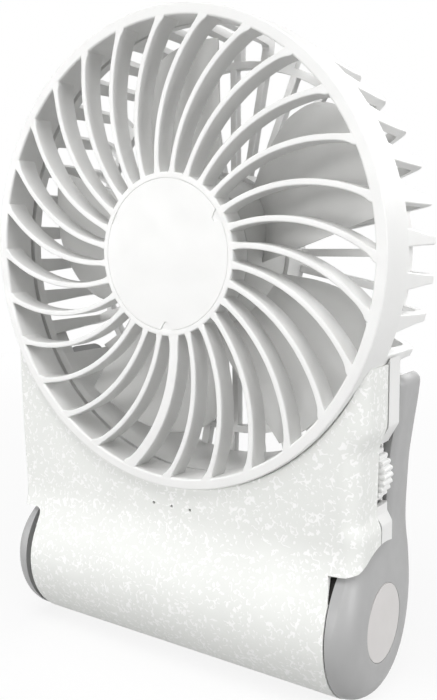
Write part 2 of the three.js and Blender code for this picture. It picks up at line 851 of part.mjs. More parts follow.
// Every hole that goes through both shells or only one of them
function bodyHoles() {
  const bodies = [
    solid(drum(boreRadius, -overrun, rearPlane, ringSides)),
    solid(hingeRod(hingeShank + gap, -headPlane, headPlane, smallSides)),
    solid(dialPocket()),
    solid(dialSlot()),
    solid(socketMouth()),
  ];
  for (const [x, z] of screwPlaces()) {
    const pilot = drum(screwShank + gap, bodyFront + screwTip, bodyBack + overrun, smallSides / 2);
    const sink = drum(screwHead + gap, screwSeat() - gap, bodyBack + overrun);
    bodies.push(solid(moved(pilot, x, 0, z)), solid(moved(sink, x, 0, z)));
  }
  for (const x of lightPlaces()) {
    bodies.push(solid(moved(drum(lightRadius + gap, -overrun, bodyFront + 2 * bodyWall), x, 0, -lightDrop)));
  }
  return joined(bodies);
}

// Round room for the dial behind the seam, and the slot that it shows through
function dialPocket() {
  const pocket = drum(dialRadius + dialPocketGap, seam, dialBack + gap, hubSides);
  return moved(pocket, dialOut, 0, -dialDrop);
}

function dialSlot() {
  const low = -dialDrop - dialSlotHalf;
  return block(dialOut, bodyHalfWidth + overrun, seam, dialBack + gap, low, low + 2 * dialSlotHalf);
}

function bodyParts() {
  const hollow = bodyLump().subtract(bodyRoom()).add(bodyFittings().intersect(bodyLump())).subtract(bodyHoles());
  return {
    front: formOf(hollow.subtract(behind(seam))),
    rear: formOf(hollow.subtract(before(seam + gap))),
  };
}

function lightPlaces() {
  return [-lightSpacing, 0, lightSpacing];
}

// Main board: a plate below the fan's bore, with holes round the screws' bosses
function mainBoard() {
  const arc = boreRadius + boreWall + 2 * gap;
  const out = Math.sqrt(arc ** 2 - boardTop ** 2);
  const start = Math.atan2(-boardTop, out);
  const shape = new THREE.Shape();
  shape.moveTo(-boardHalf, -boardTop);
  shape.lineTo(-boardHalf, -boardFoot);
  shape.lineTo(boardHalf, -boardFoot);
  shape.lineTo(boardHalf, -boardTop);
  shape.absarc(0, 0, arc, start, -Math.PI - start, true);
  const slab = solid(plate(shape, boardFront, boardBack));
  const bosses = screwPlaces().map(([x, z]) => solid(moved(drum(screwBoss + gap, 0, bodyBack), x, 0, z)));
  return formOf(slab.subtract(joined(bosses)));
}

// Light pipe from the board to the front
function lightPipe() {
  return drum(lightRadius, bodyFront, boardFront - gap, smallSides / 2);
}

// Speed control on the board's back: a square base with a post for the dial
function dialControl() {
  const base = boardBack + gap;
  const top = dialFront - 2 * gap;
  const post = drum(dialPost, top - gap, dialBack - dialPostTip);
  const foot = block(-controlHalf, controlHalf, base, top, -controlHalf, controlHalf);
  return formOf(solid(foot).add(solid(post)));
}

// Speed dial: a wheel with a toothed edge
function speedDial() {
  const points = [];
  for (let i = 0; i < 2 * dialTeeth; i += 1) {
    const radius = dialRadius - (i % 2) * dialTooth;
    const angle = (i / dialTeeth) * Math.PI;
    points.push([radius * Math.cos(angle), radius * Math.sin(angle)]);
  }
  const shape = polygon(points);
  const hole = new THREE.Path();
  hole.absarc(0, 0, dialPost + gap, 0, 2 * Math.PI, true);
  shape.holes.push(hole);
  return plate(shape, dialFront, dialBack);
}

// Middle of the charging socket's mouth on the left wall
function socketPlace() {
  const y = boardFront - gap - socketHeight / 2;
  return [socketInset - bodyFootHalfWidth, y, -socketDrop];
}

function socketMouth() {
  const [x, y, z] = socketPlace();
  const shape = oblong(socketWidth / 2 + socketMargin, socketHeight / 2 + socketMargin);
  const mouth = crossPlate(shape, -overrun - socketInset, bodyWall + overrun, smallSides / 2);
  return moved(mouth, x, y, z);
}

// Charging socket: a flat sleeve, closed at the back, with a tongue in the middle
function chargeSocket() {
  const outer = crossPlate(oblong(socketWidth / 2, socketHeight / 2), 0, socketDepth, smallSides / 2);
  const hollow = oblong(socketWidth / 2 - socketWall, socketHeight / 2 - socketWall);
  const room = crossPlate(hollow, -overrun, socketDepth - 2 * socketWall, smallSides / 2);
  const half = socketTongue / 2;
  const wide = socketWidth / 2 - socketHeight / 2;
  const tongue = block(socketInset, socketDepth - socketWall, -half, half, -wide, wide);
  return formOf(solid(outer).subtract(solid(room)).add(solid(tongue)));
}

// Battery cell, with its button at the right end
function batteryCell() {
  const end = cellLength / 2;
  const shoulder = end - cellButtonHeight;
  return turnedAcross([
    [0, -end],
    [cellRadius, -end],
    [cellRadius, shoulder],
    [cellButton, shoulder],
    [cellButton, end],
    [0, end],
  ], hubSides);
}

// Contact plate at an end of the cell
function contact() {
  return turnedAcross([
    [0, contactOut],
    [contactRadius, contactOut],
    [contactRadius, contactOut + contactThickness],
    [0, contactOut + contactThickness],
  ]);
}

// Shell screw, head at the back
function shellScrew() {
  const tip = bodyFront + screwTip + gap;
  const seat = screwSeat();
  return turned([
    [0, tip],
    [screwShank, tip],
    [screwShank, seat],
    [screwHead, seat],
    [screwHead, seat + screwHeadHeight],
    [0, seat + screwHeadHeight],
  ], smallSides / 2);
}

// Pivot screw of the hinge, from its tail inside the barrel out to its head in the cheek
function hingeScrew() {
  return turnedAcross([
    [0, nutOut - hingeTail],
    [hingeShank, nutOut - hingeTail],
    [hingeShank, headSeat],
    [hingeHead, headSeat],
    [hingeHead, headSeat + hingeHeadHeight],
    [0, headSeat + hingeHeadHeight],
  ]);
}

function frictionWasher() {
  const washer = collar(hingeShank + gap, washerRadius, washerOut, washerOut + washerThickness);
  washer.rotateZ(-Math.PI / 2);
  return washer;
}

function hingeNut() {
  const hex = rod(nutRadius, nutOut, nutOut + nutThickness, 6);
  const hole = rod(hingeShank + gap, nutOut - overrun, nutOut + nutThickness + overrun);
  return formOf(solid(hex).subtract(solid(hole)));
}

function pivotCap() {
  return rod(capRadius, headPlane - capThickness, headPlane, hubSides);
}

// One cheek of the stand: a disc with a rounded outer rim
function cheek() {
  return turnedAcross([
    [0, barrelHalf + cheekGap],
    [cheekRadius, barrelHalf + cheekGap],
    ...quarter(cheekRadius - cheekEdge, headPlane - cheekEdge, cheekEdge, 0, 90),
    [0, headPlane],
  ], hubSides);
}

// What the screw and its cap take out of a cheek: a hole, a seat for the head and a recess
function cheekBore() {
  const hole = hingeShank + gap;
  const capFloor = headPlane - capThickness - gap;
  return turnedAcross([
    [0, barrelHalf],
    [hole, barrelHalf],
    [hole, headSeat - gap],
    [hingeHead + gap, headSeat - gap],
    [hingeHead + gap, capFloor],
    [capRadius + gap, capFloor],
    [capRadius + gap, headPlane + overrun],
    [0, headPlane + overrun],
  ], hubSides);
}

// The stand's outline above the hinge: sides drawn in towards the hinge, by a smooth curve
function standOutline(inset) {
  const height = pivotDrop * standHeightShare;
  const side = standSideShares.map(([up, out]) => new THREE.Vector2(out * standHalfWidth - inset, up * height));
  const curve = new THREE.SplineCurve(side);
  const right = curve.getPoints(standSideSteps);
  const left = right.map((point) => new THREE.Vector2(-point.x, point.y));
  return new THREE.Shape([...left, ...right.reverse()]);
}

// What the fan's head and the barrel take out of the stand, with a margin round both
function standCuts(margin) {
  const head = moved(drum(standHeadRadius + margin, -pivotBack, rearPlane, ringSides), 0, 0, pivotDrop);
  const reach = barrelHalf + cheekGap;
  const barrel = rod(standBarrelRadius + margin, -reach, reach, barrelSides);
  return solid(head).add(solid(barrel));
}

// The hollow inside the stand, from one depth to another, drawn in by a clearance
function standRoom(front, back, clearance) {
  const slab = solid(plate(standOutline(standWall + clearance), front, back));
  const arms = block(-headPlane, headPlane, 0, rearPlane, -barrelRadius, barrelRadius + standWall + clearance);
  return slab.subtract(standCuts(standWall + clearance)).subtract(solid(arms));
}

// A form at the right end of the hinge and its copy at the left end
function bothEnds(geometry) {
  const copy = geometry.clone();
  copy.rotateZ(Math.PI);
  return solid(geometry).add(solid(copy));
}

// Stand: a hollow moulding round the cage's back, with a cheek at each end of the barrel
function standFrame() {
  const lip = Math.sqrt(standBarrelRadius ** 2 - (standBack - standLip) ** 2);
  const reach = barrelHalf + cheekGap;
  const plain = solid(roundedPlate(standOutline(0), standFront, standBack - standEdge, standEdge));
  const slab = plain.subtract(before(standFront));
  const room = standRoom(standFront - overrun, standBack - standWall, 0);
  const feather = solid(block(-reach, reach, 0, rearPlane, -barrelRadius, lip));
  const ribs = [-standRibPlace, standRibPlace].map((x) => solid(
    block(x - standRib / 2, x + standRib / 2, standFront + standCover + gap, standBack, 0, pivotDrop),
  ));
  const frame = slab.subtract(standCuts(0)).subtract(feather).subtract(room.subtract(joined(ribs)));
  const cheeks = bothEnds(cheek());
  const bores = bothEnds(cheekBore());
  return formOf(frame.add(cheeks).subtract(bores));
}

// Cover inlaid in the stand's front, over its hollow
function standCoverPlate() {
  return formOf(standRoom(standFront, standFront + standCover, gap));
}

// The nodes, in the bodies that move together
function housing() {
  const group = new THREE.Group();
  const { front, rear } = bodyParts();
  piece(group, "front_grille", frontGrille(), whitePlastic);
  piece(group, "hub_badge", hubBadge(), whitePlastic);
  piece(group, "rear_grille", rearGrille(), whitePlastic);
  piece(group, "front_shell", front, shellPlastic);
  piece(group, "rear_shell", rear, shellPlastic);
  piece(group, "main_board", mainBoard(), board);
  screwPlaces().forEach(([x, z], i) => {
    piece(group, `shell_screw_${i + 1}`, shellScrew(), steel).position.set(x, 0, z);
  });
  lightPlaces().forEach((x, i) => {
    piece(group, `light_pipe_${i + 1}`, lightPipe(), clearPlastic).position.set(x, 0, -lightDrop);
  });
  piece(group, "charge_socket", chargeSocket(), steel).position.set(...socketPlace());
  piece(group, "dial_control", dialControl(), ferrite).position.set(dialOut, 0, -dialDrop);
  group.add(motorStator(), batteryBay());
  return group;
}

function motorStator() {
  const group = new THREE.Group();
  const tubeInner = tubeRadius - tubeWall;
  piece(group, "bearing_tube", collar(tubeInner, tubeRadius, tubeFront, tubeBack), bronze);
  piece(group, "sleeve_bearing", collar(shaftRadius + gap, bearingRadius, bearingFront, bearingBack), bronze);
  piece(group, "stator_core", statorCore(), laminations);
  piece(group, "motor_board", motorBoard(), board);
  for (let i = 0; i < statorPoles; i += 1) {
    const winding = piece(group, `motor_coil_${i + 1}`, coil(), copper);
    winding.position.y = statorFront + statorHeight / 2;
    winding.rotation.y = (i / statorPoles) * 2 * Math.PI;
  }
  return group;
}

function batteryBay() {
  const group = new THREE.Group();
  group.position.set(0, pivotBack, -pivotDrop);
  piece(group, "battery_cell", batteryCell(), cellWrap);
  piece(group, "positive_contact", contact(), steel);
  piece(group, "negative_contact", contact(), steel).rotation.z = Math.PI;
  piece(group, "friction_washer_right", frictionWasher(), fibre);
  piece(group, "friction_washer_left", frictionWasher(), fibre).rotation.z = Math.PI;
  return group;
}

function rotor() {
  const group = new THREE.Group();
  const inner = magnetRadius - magnetThickness;
  const magnetFront = yokeFront + yokeThickness + magnetInset;
  piece(group, "impeller", impeller(), whitePlastic);
  piece(group, "rotor_yoke", rotorYoke(), steel);
  piece(group, "rotor_magnet", collar(inner, magnetRadius, magnetFront, yokeBack - yokeInset, hubSides), ferrite);
  piece(group, "motor_shaft", drum(shaftRadius, impellerFront + impellerFace, tubeBack - shaftRearGap), steel);
  piece(group, "shaft_clip", shaftClip(), steel);
  return group;
}

function dial() {
  const group = new THREE.Group();
  group.position.set(dialOut, 0, -dialDrop);
  piece(group, "speed_dial", speedDial(), whitePlastic);
  return group;
}

function stand() {
  const group = new THREE.Group();
  group.position.set(0, pivotBack, -pivotDrop);
  piece(group, "stand_frame", standFrame(), greyPlastic);
  piece(group, "stand_cover", standCoverPlate(), greyPlastic);
  for (const [side, turn] of [["right", 0], ["left", Math.PI]]) {
    piece(group, `pivot_cap_${side}`, pivotCap(), palePlastic).rotation.z = turn;
    piece(group, `hinge_screw_${side}`, hingeScrew(), steel).rotation.z = turn;
    piece(group, `hinge_nut_${side}`, hingeNut(), steel).rotation.z = turn;
  }
  return group;
}

const fan = new THREE.Group();
fan.add(housing(), rotor(), dial(), stand());
fan.position.set(0, -(rearPlane + pivotBack - barrelRadius) / 2, bottom);

const ground = new THREE.Group();
ground.add(fan);

export default ground;
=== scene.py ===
import json
import math

import bmesh
import bpy
import numpy as np
from mathutils import Matrix, Vector


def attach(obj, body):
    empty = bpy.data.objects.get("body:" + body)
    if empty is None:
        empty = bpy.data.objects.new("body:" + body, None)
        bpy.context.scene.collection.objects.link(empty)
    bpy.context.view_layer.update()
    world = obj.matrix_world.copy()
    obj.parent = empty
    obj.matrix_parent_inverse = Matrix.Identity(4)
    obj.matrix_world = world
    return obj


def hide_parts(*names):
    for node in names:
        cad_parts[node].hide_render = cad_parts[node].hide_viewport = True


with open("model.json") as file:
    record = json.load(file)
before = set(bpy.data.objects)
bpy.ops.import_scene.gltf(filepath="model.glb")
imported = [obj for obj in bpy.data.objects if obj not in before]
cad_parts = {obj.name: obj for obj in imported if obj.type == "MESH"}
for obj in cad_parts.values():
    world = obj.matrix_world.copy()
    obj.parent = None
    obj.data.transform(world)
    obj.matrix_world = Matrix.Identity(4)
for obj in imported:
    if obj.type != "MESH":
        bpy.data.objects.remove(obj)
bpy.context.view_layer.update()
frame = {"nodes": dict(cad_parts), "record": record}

# Sizes are in millimetres from the centre of the grille's front face: X right, Y back, Z up.
MM = 0.001
CENTRE = np.array((0.0, -13.5, 95.2))
HINGE_Y, HINGE_Z = 13.5, -77.9

# Front grille
RING_OUT, RING_IN = 52.5, 50.0
RING_DEPTH, RING_WALL = 10.3, 8.3
HUB, HUB_WALL, HUB_DEPTH, HUB_SINK = 18.0, 1.3, 6.05, 0.65
HUB_FLOOR, HUB_WEB, HUB_ROUND = 0.24, 2.9, 0.35
BADGE_DEPTH, BADGE_GAP = 0.23, 0.03
NOTCHES = (30, 150, 270)
# One notch of the badge: degrees from its middle, and depth from the badge's edge
NOTCH = [(-5.6, 0), (-5.2, 0.1), (-2.2, 1.6), (-1.4, 1.8), (1.4, 1.8), (2.2, 1.6), (5.2, 0.1), (5.6, 0)]
VANES, THICK_VANE = 28, 21
VANE_WIDTH, THICK_VANE_WIDTH, VANE_DEPTH = 1.3, 2.4, 5.3
VANE_BOW, VANE_BOW_CENTRE, VANE_BOW_ANGLE = 37.83, 41.13, math.radians(-67.05)
# Crossing members lie this much below each other, so that no two faces share a plane
SET_IN = 0.02

# Rear grille
REAR, PLATE = 30.8, 2.4
BARS, BAR_WIDTH = 32, 1.75
CAGE_RING_IN, CAGE_RING_OUT = 43.4, 45.3
RIBS, RIB_START = 38, 3.15
RIB_ROOT, RIB_TIP, RIB_DEPTH, RIB_CORNER, RIB_SKEW = 3.8, 2.1, 2.0, 1.8, 0.55
LEG_ROOT_Y, LEG_ROOT_R, LEG_TIP_R = 10.6, 52.3, 50.9
WALL_FROM, WALL_TO = 211.5, 328.5
# Motor mount: a disc with a shallow groove in its back, a seat for the tube in its middle
MOUNT, MOUNT_FRONT, MOUNT_SEAT = 18.9, 22.7, 29.0

# Impeller
BLADES, BLADE_TIP = 5, 47.5
BLADE_FRONT, BLADE_BACK, BLADE_THICK = 12.5, 21.8, 1.2
BLADE_SKEW, BLADE_LEAD, BLADE_MIDDLE, BLADE_SPREAD, BLADE_SWELL = 7.65, 19.2, 27, 30, 2.2
IMPELLER_FRONT, IMPELLER_BACK = 6.2, 22.4

# Body
BORE, BORE_LIP = 52.53, 0.55
BODY_FRONT, BODY_BACK, SEAM, SEAM_GAP = 1.6, 18.0, 12.0, 0.33
BARREL, BARREL_HALF, BARREL_WALL, BARREL_END_WALL = 17.3, 41.7, 1.8, 3.2
# Radius of the hollow between the flat front and the barrel, how high it begins and where it ends
FILLET = 20.0
FILLET_RISE = math.sqrt((BARREL + FILLET) ** 2 - (HINGE_Y - BODY_FRONT + FILLET) ** 2)
FILLET_END = HINGE_Z + FILLET_RISE * BARREL / (BARREL + FILLET)
# The wings over the cheeks: room round the hinge, and their lowest level at the front
WING, WING_LOW = 17.7, -64.8
SHELL = 1.7
# Half widths of the body, each with its height, from the top down
RIGHT_SIDE = [(-19, 48.0), (-35.1, 48.0), (-39.5, 46.3), (-54.4, 46.0), (-56.5, 47.1), (-72, 47.1)]
REAR_RIGHT_SIDE = [(-19, 48.2), (-35.1, 48.2), (-39.2, 45.9), (-54.4, 45.9), (-56.5, 47.1), (-72, 47.1)]
LEFT_SIDE = [(-19, 49.2), (-36, 49.1), (-42, 48.95), (-53.5, 48.6), (-62, 48.1), (-72, 48.0)]
HORN_X, HORN_TOP = 36, -22.1
# The wedge at the barrel's right end: angle about the hinge, where it starts along x, outer radius
END_WEDGE = [(98, 39.5, 18), (118, 39.6, 18), (126, 40.0, 18), (132.6, 40.45, 18), (134, 40.55, 18.65),
             (139, 40.85, 19), (144, 41.2, 19), (151, 41.6, 19)]
WEDGE_IN, WEDGE_END = 9, 41.8
SCREWS = [(-44.0, -34.4), (44.0, -34.4), (-34.0, -58.5), (34.0, -58.5)]
SCREW_PILLAR, SCREW_HOLE, SCREW_SINK = 3, 1.2, 2.1
LIGHTS, LIGHTS_Z, LIGHT_HOLE = (-5.2, 0.0, 5.2), -57.4, 0.37
SOCKET_Y, SOCKET_Z, SOCKET_REACH, SOCKET_ROUND = 6.7, -47.95, 2.85, 2.0
SOCKET_FROM, SOCKET_TO = -52, -38.6

# Dial
DIAL_X, DIAL_Z, DIAL_R, DIAL_FRONT, DIAL_BACK = 40.3, -46.0, 7.4, 12.3, 16.9
DIAL_TEETH, DIAL_TOOTH, DIAL_HOLE = 30, 0.62, 1.9
DIAL_ROOM, DIAL_ROOM_BACK, SLOT_BELOW, SLOT_ABOVE, SLOT_SIDE = 0.6, 0.3, 6.5, 6.8, 44.6

# Stand
STAND_FRONT, STAND_BACK = 18.6, 30.5
STAND_SIDE = [(-22.0, 48.9), (-27.3, 48.7), (-31.1, 48.3), (-36.8, 47.45), (-44.1, 46.45), (-54.7, 45.95),
              (-62.4, 45.85), (-69.4, 46.1), (-80, 46.4)]
STAND_TOP, STAND_TOP_ROUND, STAND_EDGE = -25.25, 2.4, 3.0
STAND_BORE, STAND_GROOVE, STAND_OPEN = 53.6, 17.9, 9.3
COVER_BORE, COVER_GROOVE, COVER_MARGIN = 55.8, 20.1, 2.6
CHEEK = 17.1
# Inner face, outer face and edge radius of the right and the left cheek
CHEEKS = {1: (41.95, 47.4, 5.4), -1: (43.4, 47.9, 3.6)}
CAP, CAP_INNER, CAP_SEAT = 8.4, 46.1, 45.9
HINGE_HOLE, HEAD_POCKET, HEAD_SEAT = 2.8, 5.3, 44.2
# The right washer reaches out almost to the barrel's edge, so its near-black fibre fills the wedge at the
# barrel's end: part friction ring, part painted shade.
WASHERS, WASHER_DEPTH, WASHER_GAP = {1: 16.8, -1: 12}, 1.6, 0.06

# Camera: its place from the grille's centre, its turn as an axis, its focal length in picture pixels
CAMERA_AT, CAMERA_TURN = (114.7422, -145.7913, 3.5575), (-0.13110942, -0.03138334, 0.60052250)
CAMERA_FOCUS, PICTURE_HEIGHT, SENSOR = 839.8213, 700, 36

# Lamps: name, turn from the front to the right, height angle, watts
LAMPS = [("front", -12, 0, 4.9), ("left", -44, 0, 3.2), ("side", 91, 12, 5.4), ("back", 176, 20, 2.4),
         ("high", 40, 50, 2.4), ("top", -5, 70, 2.8)]
LAMP_SIZE, LAMP_AWAY, LAMP_TARGET = 0.5, 0.9, (0, 0, 0.08)
FLOOR_HALF, FLOOR_DROP, FLOOR_TONE, FLOOR_SEEN = 6.0, 0.0002, (0.28, 0.28, 0.28), (0.97, 0.97, 0.97)


def arc(x, y, radius, start, end, steps):
    """Points of an arc, with its angles in degrees."""
    angles = np.radians(np.linspace(start, end, steps + 1))
    return [(x + radius * math.cos(a), y + radius * math.sin(a)) for a in angles]


def rounded(corners, radii, steps=5):
    """A closed outline whose corners are rounded, each by its own radius."""
    corners = [np.array(c, float) for c in corners]
    if np.isscalar(radii):
        radii = [radii] * len(corners)
    points = []
    for i, corner in enumerate(corners):
        if radii[i] <= 0:
            points.append(corner)
            continue
        a = corners[i - 1] - corner
        b = corners[(i + 1) % len(corners)] - corner
        a /= np.linalg.norm(a)
        b /= np.linalg.norm(b)
        half = math.acos(np.clip(a @ b, -1, 1)) / 2
        reach = radii[i] / math.tan(half)
        middle = corner + (a + b) / np.linalg.norm(a + b) * radii[i] / math.sin(half)
        start, end = corner + a * reach - middle, corner + b * reach - middle
        first = math.atan2(start[1], start[0])
        turn = math.atan2(end[1], end[0]) - first
        turn = (turn + math.pi) % (2 * math.pi) - math.pi
        for k in range(steps + 1):
            angle = first + turn * k / steps
            points.append(middle + radii[i] * np.array((math.cos(angle), math.sin(angle))))
    return np.array(points)


class Form:
    """Closed surfaces that together make one piece."""

    def __init__(self):
        self.points, self.faces = [], []

    def loft(self, rings, closed=False):
        rings = np.asarray(rings, float)
        count, size = rings.shape[:2]
        base = len(self.points)
        self.points.extend(map(tuple, rings.reshape(-1, 3)))
        for i in range(count if closed else count - 1):
            a, b = base + i * size, base + (i + 1) % count * size
            for j in range(size):
                k = (j + 1) % size
                self.faces.append((a + j, a + k, b + k, b + j))
        if not closed:
            self.faces.append(tuple(base + j for j in reversed(range(size))))
            self.faces.append(tuple(base + (count - 1) * size + j for j in range(size)))
        return self

    def lathe(self, profile, steps=192, start=0, end=360):
        """A closed profile of radius and depth, turned round the fan's axis."""
        whole = end - start >= 360
        angles = np.radians(np.linspace(start, end, steps + (not whole), endpoint=not whole))
        rings = [[(r * math.cos(a), y, r * math.sin(a)) for r, y in profile] for a in angles]
        return self.loft(rings, closed=whole)

    def turned(self, profile, steps=192):
        """A profile from near the axis and back to it, as radius and depth."""
        angles = np.radians(np.linspace(0, 360, steps, endpoint=False))
        return self.loft([[(r * math.cos(a), y, r * math.sin(a)) for a in angles] for r, y in profile])

    def across(self, profile, steps=96):
        """A profile of radius and place along x, turned round the hinge's axis."""
        angles = np.radians(np.linspace(0, 360, steps, endpoint=False))
        return self.loft([
            [(x, HINGE_Y + r * math.cos(a), HINGE_Z + r * math.sin(a)) for a in angles] for r, x in profile
        ])

    def drum(self, x, z, radius, front, back, steps=48):
        angles = np.radians(np.linspace(0, 360, steps, endpoint=False))
        ring = [(x + radius * math.cos(a), z + radius * math.sin(a)) for a in angles]
        return self.loft([[(u, y, v) for u, v in ring] for y in (front, back)])

    def block(self, low, high):
        x, y, z = zip(low, high)
        ring = [(x[0], y[0]), (x[1], y[0]), (x[1], y[1]), (x[0], y[1])]
        return self.loft([[(a, b, level) for a, b in ring] for level in z])

    def turn(self, angle, since=0):
        """Turns the points added since a mark about the fan's axis."""
        c, s = math.cos(angle), math.sin(angle)
        moved = [(x * c - z * s, y, x * s + z * c) for x, y, z in self.points[since:]]
        self.points[since:] = moved
        return self

    def object(self, name="form"):
        mesh = bpy.data.meshes.new(name)
        mesh.from_pydata([tuple((np.array(p) + CENTRE) * MM) for p in self.points], [], self.faces)
        work = bmesh.new()
        work.from_mesh(mesh)
        bmesh.ops.recalc_face_normals(work, faces=work.faces)
        work.to_mesh(mesh)
        work.free()
        made = bpy.data.objects.new(name, mesh)
        bpy.context.scene.collection.objects.link(made)
        return made


def settle(obj):
    """Makes an object's modifiers part of its mesh."""
    graph = bpy.context.evaluated_depsgraph_get()
    mesh = bpy.data.meshes.new_from_object(obj.evaluated_get(graph), depsgraph=graph)
    old = obj.data
    obj.modifiers.clear()
    obj.data = mesh
    bpy.data.meshes.remove(old)


def combine(base, operation, *tools):
    """Joins, cuts or intersects a solid with others, which are used up."""
    for tool in tools:
        if isinstance(tool, Form):
            tool = tool.object("tool")
        step = base.modifiers.new("step", "BOOLEAN")
        step.operation, step.solver, step.object = operation, "MANIFOLD", tool
        settle(base)
        bpy.data.objects.remove(tool)
    return base


def piece(shape, name, body, material, nodes=(), sharp=32, bevel=0, bevel_angle=40):
    """Turns a form or a solid into a finished piece that stands for its nodes."""
    obj = shape.object(name) if isinstance(shape, Form) else shape
    obj.name = obj.data.name = name
    if bevel:
        edge = obj.modifiers.new("edge", "BEVEL")
        edge.width, edge.segments, edge.limit_method = bevel * MM, 2, "ANGLE"
        edge.angle_limit, edge.miter_outer = math.radians(bevel_angle), "MITER_ARC"
        edge.use_clamp_overlap = True
        settle(obj)
    work = bmesh.new()
    work.from_mesh(obj.data)
    for face in work.faces:
        face.smooth = True
    for edge in work.edges:
        edge.smooth = edge.calc_face_angle(math.pi) < math.radians(sharp)
    work.to_mesh(obj.data)
    work.free()
    weigh = obj.modifiers.new("weigh", "WEIGHTED_NORMAL")
    weigh.keep_sharp, weigh.weight = True, 80
    settle(obj)
    obj.data.materials.clear()
    obj.data.materials.append(material)
    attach(obj, body)
    if nodes:
        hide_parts(*nodes)
    return obj


# ---------- materials ----------


def new_material(name):
    """A material, its node tree and its main shader."""
    material = bpy.data.materials.new(name)
    material.use_nodes = True
    nodes = material.node_tree.nodes
    return material, material.node_tree, nodes["Principled BSDF"]


def noise(tree, scale, detail=2.0, source=None, distortion=0.0):
    """A noise over the object's own coordinates, or over another vector."""
    node = tree.nodes.new("ShaderNodeTexNoise")
    node.inputs["Scale"].default_value = scale
    node.inputs["Detail"].default_value = detail
    node.inputs["Distortion"].default_value = distortion
    tree.links.new(source or coordinates(tree), node.inputs["Vector"])
    return node.outputs["Fac"]


def coordinates(tree):
    """The object's own coordinates, from one node in each material."""
    found = tree.nodes.get("place")
    if not found:
        found = tree.nodes.new("ShaderNodeTexCoord")
        found.name = "place"
    return found.outputs["Object"]


def ramp(tree, value, low, high, start=0.0, end=1.0):
    """Eases a value from one range into another."""
    node = tree.nodes.new("ShaderNodeMapRange")
    node.interpolation_type = "SMOOTHSTEP"
    node.inputs["From Min"].default_value = low
    node.inputs["From Max"].default_value = high
    node.inputs["To Min"].default_value = start
    node.inputs["To Max"].default_value = end
    tree.links.new(value, node.inputs["Value"])
    return node.outputs["Result"]


def compute(tree, operation, first, second=None):
    """One sum on one or two values, each a number or another node's output."""
    node = tree.nodes.new("ShaderNodeMath")
    node.operation = operation
    for value, socket in zip((first, second), node.inputs):
        if isinstance(value, float):
            socket.default_value = value
        elif value is not None:
            tree.links.new(value, socket)
    return node.outputs[0]


def mix(tree, factor, first, second):
    """A colour between two, each a colour or another node's output."""
    node = tree.nodes.new("ShaderNodeMix")
    node.data_type = "RGBA"
    tree.links.new(factor, node.inputs["Factor"])
    for value, socket in ((first, node.inputs[6]), (second, node.inputs[7])):
        if isinstance(value, tuple):
            socket.default_value = (*value, 1)
        else:
            tree.links.new(value, socket)
    return node.outputs[2]


def bump(tree, shader, height, strength, distance):
    """Gives a material a fine relief."""
    node = tree.nodes.new("ShaderNodeBump")
    node.inputs["Strength"].default_value = strength
    node.inputs["Distance"].default_value = distance
    tree.links.new(height, node.inputs["Height"])
    tree.links.new(node.outputs["Normal"], shader.inputs["Normal"])


def plastic(name, light, dark, rough=0.42, grain=0.3, specular=0.5):
    """A moulded plastic: faint cloudiness, uneven gloss and a fine eroded grain."""
    material, tree, shader = new_material(name)
    cloud = ramp(tree, noise(tree, 90, 3), 0.3, 0.7)
    tree.links.new(mix(tree, cloud, dark, light), shader.inputs["Base Color"])
    gloss = ramp(tree, noise(tree, 260, 2), 0.3, 0.7, rough - 0.05, rough + 0.06)
    tree.links.new(gloss, shader.inputs["Roughness"])
    shader.inputs["Specular IOR Level"].default_value = specular
    bump(tree, shader, noise(tree, 5200, 2), grain, 0.00004)
    return material


def flecked(name, light, dark, fleck):
    """The shell's plastic, full of small bright shards that lie every way."""
    material, tree, shader = new_material(name)
    place = coordinates(tree)
    cloud = ramp(tree, noise(tree, 60, 3), 0.3, 0.7)
    base = mix(tree, cloud, dark, light)
    first = shards(tree, place, 620, 0.56, 0.0)
    second = shards(tree, place, 840, 0.57, 7.3)
    both = compute(tree, "MAXIMUM", first, second)
    tree.links.new(mix(tree, both, base, fleck), shader.inputs["Base Color"])
    tree.links.new(ramp(tree, both, 0, 1, 0.55, 0.46), shader.inputs["Roughness"])
    shader.inputs["Specular IOR Level"].default_value = 0.3
    bump(tree, shader, noise(tree, 5200, 2), 0.25, 0.00004)
    return material


def shards(tree, place, scale, level, shift):
    """Short crooked streaks: thin lines along a noise's middle value, broken up by a second noise."""
    move = tree.nodes.new("ShaderNodeVectorMath")
    move.operation = "ADD"
    move.inputs[1].default_value = (shift, shift * 0.7, -shift)
    tree.links.new(place, move.inputs[0])
    lines = noise(tree, scale, 0.5, move.outputs[0], 0.3)
    away = compute(tree, "ABSOLUTE", compute(tree, "SUBTRACT", lines, 0.5))
    thin = ramp(tree, away, 0.042, 0.066, 1, 0)
    broken = ramp(tree, noise(tree, scale * 1.15, 0.5, move.outputs[0]), level, level + 0.03)
    return compute(tree, "MULTIPLY", thin, broken)


def metal(name, light, dark, rough):
    """A metal with faint cloudiness, uneven gloss and fine tool marks."""
    material, tree, shader = new_material(name)
    cloud = ramp(tree, noise(tree, 900, 3), 0.3, 0.7)
    tree.links.new(mix(tree, cloud, dark, light), shader.inputs["Base Color"])
    gloss = ramp(tree, noise(tree, 1500, 2), 0.3, 0.7, rough, rough + 0.15)
    tree.links.new(gloss, shader.inputs["Roughness"])
    shader.inputs["Metallic"].default_value = 1.0
    bump(tree, shader, noise(tree, 3000, 2), 0.15, 0.00003)
    return material


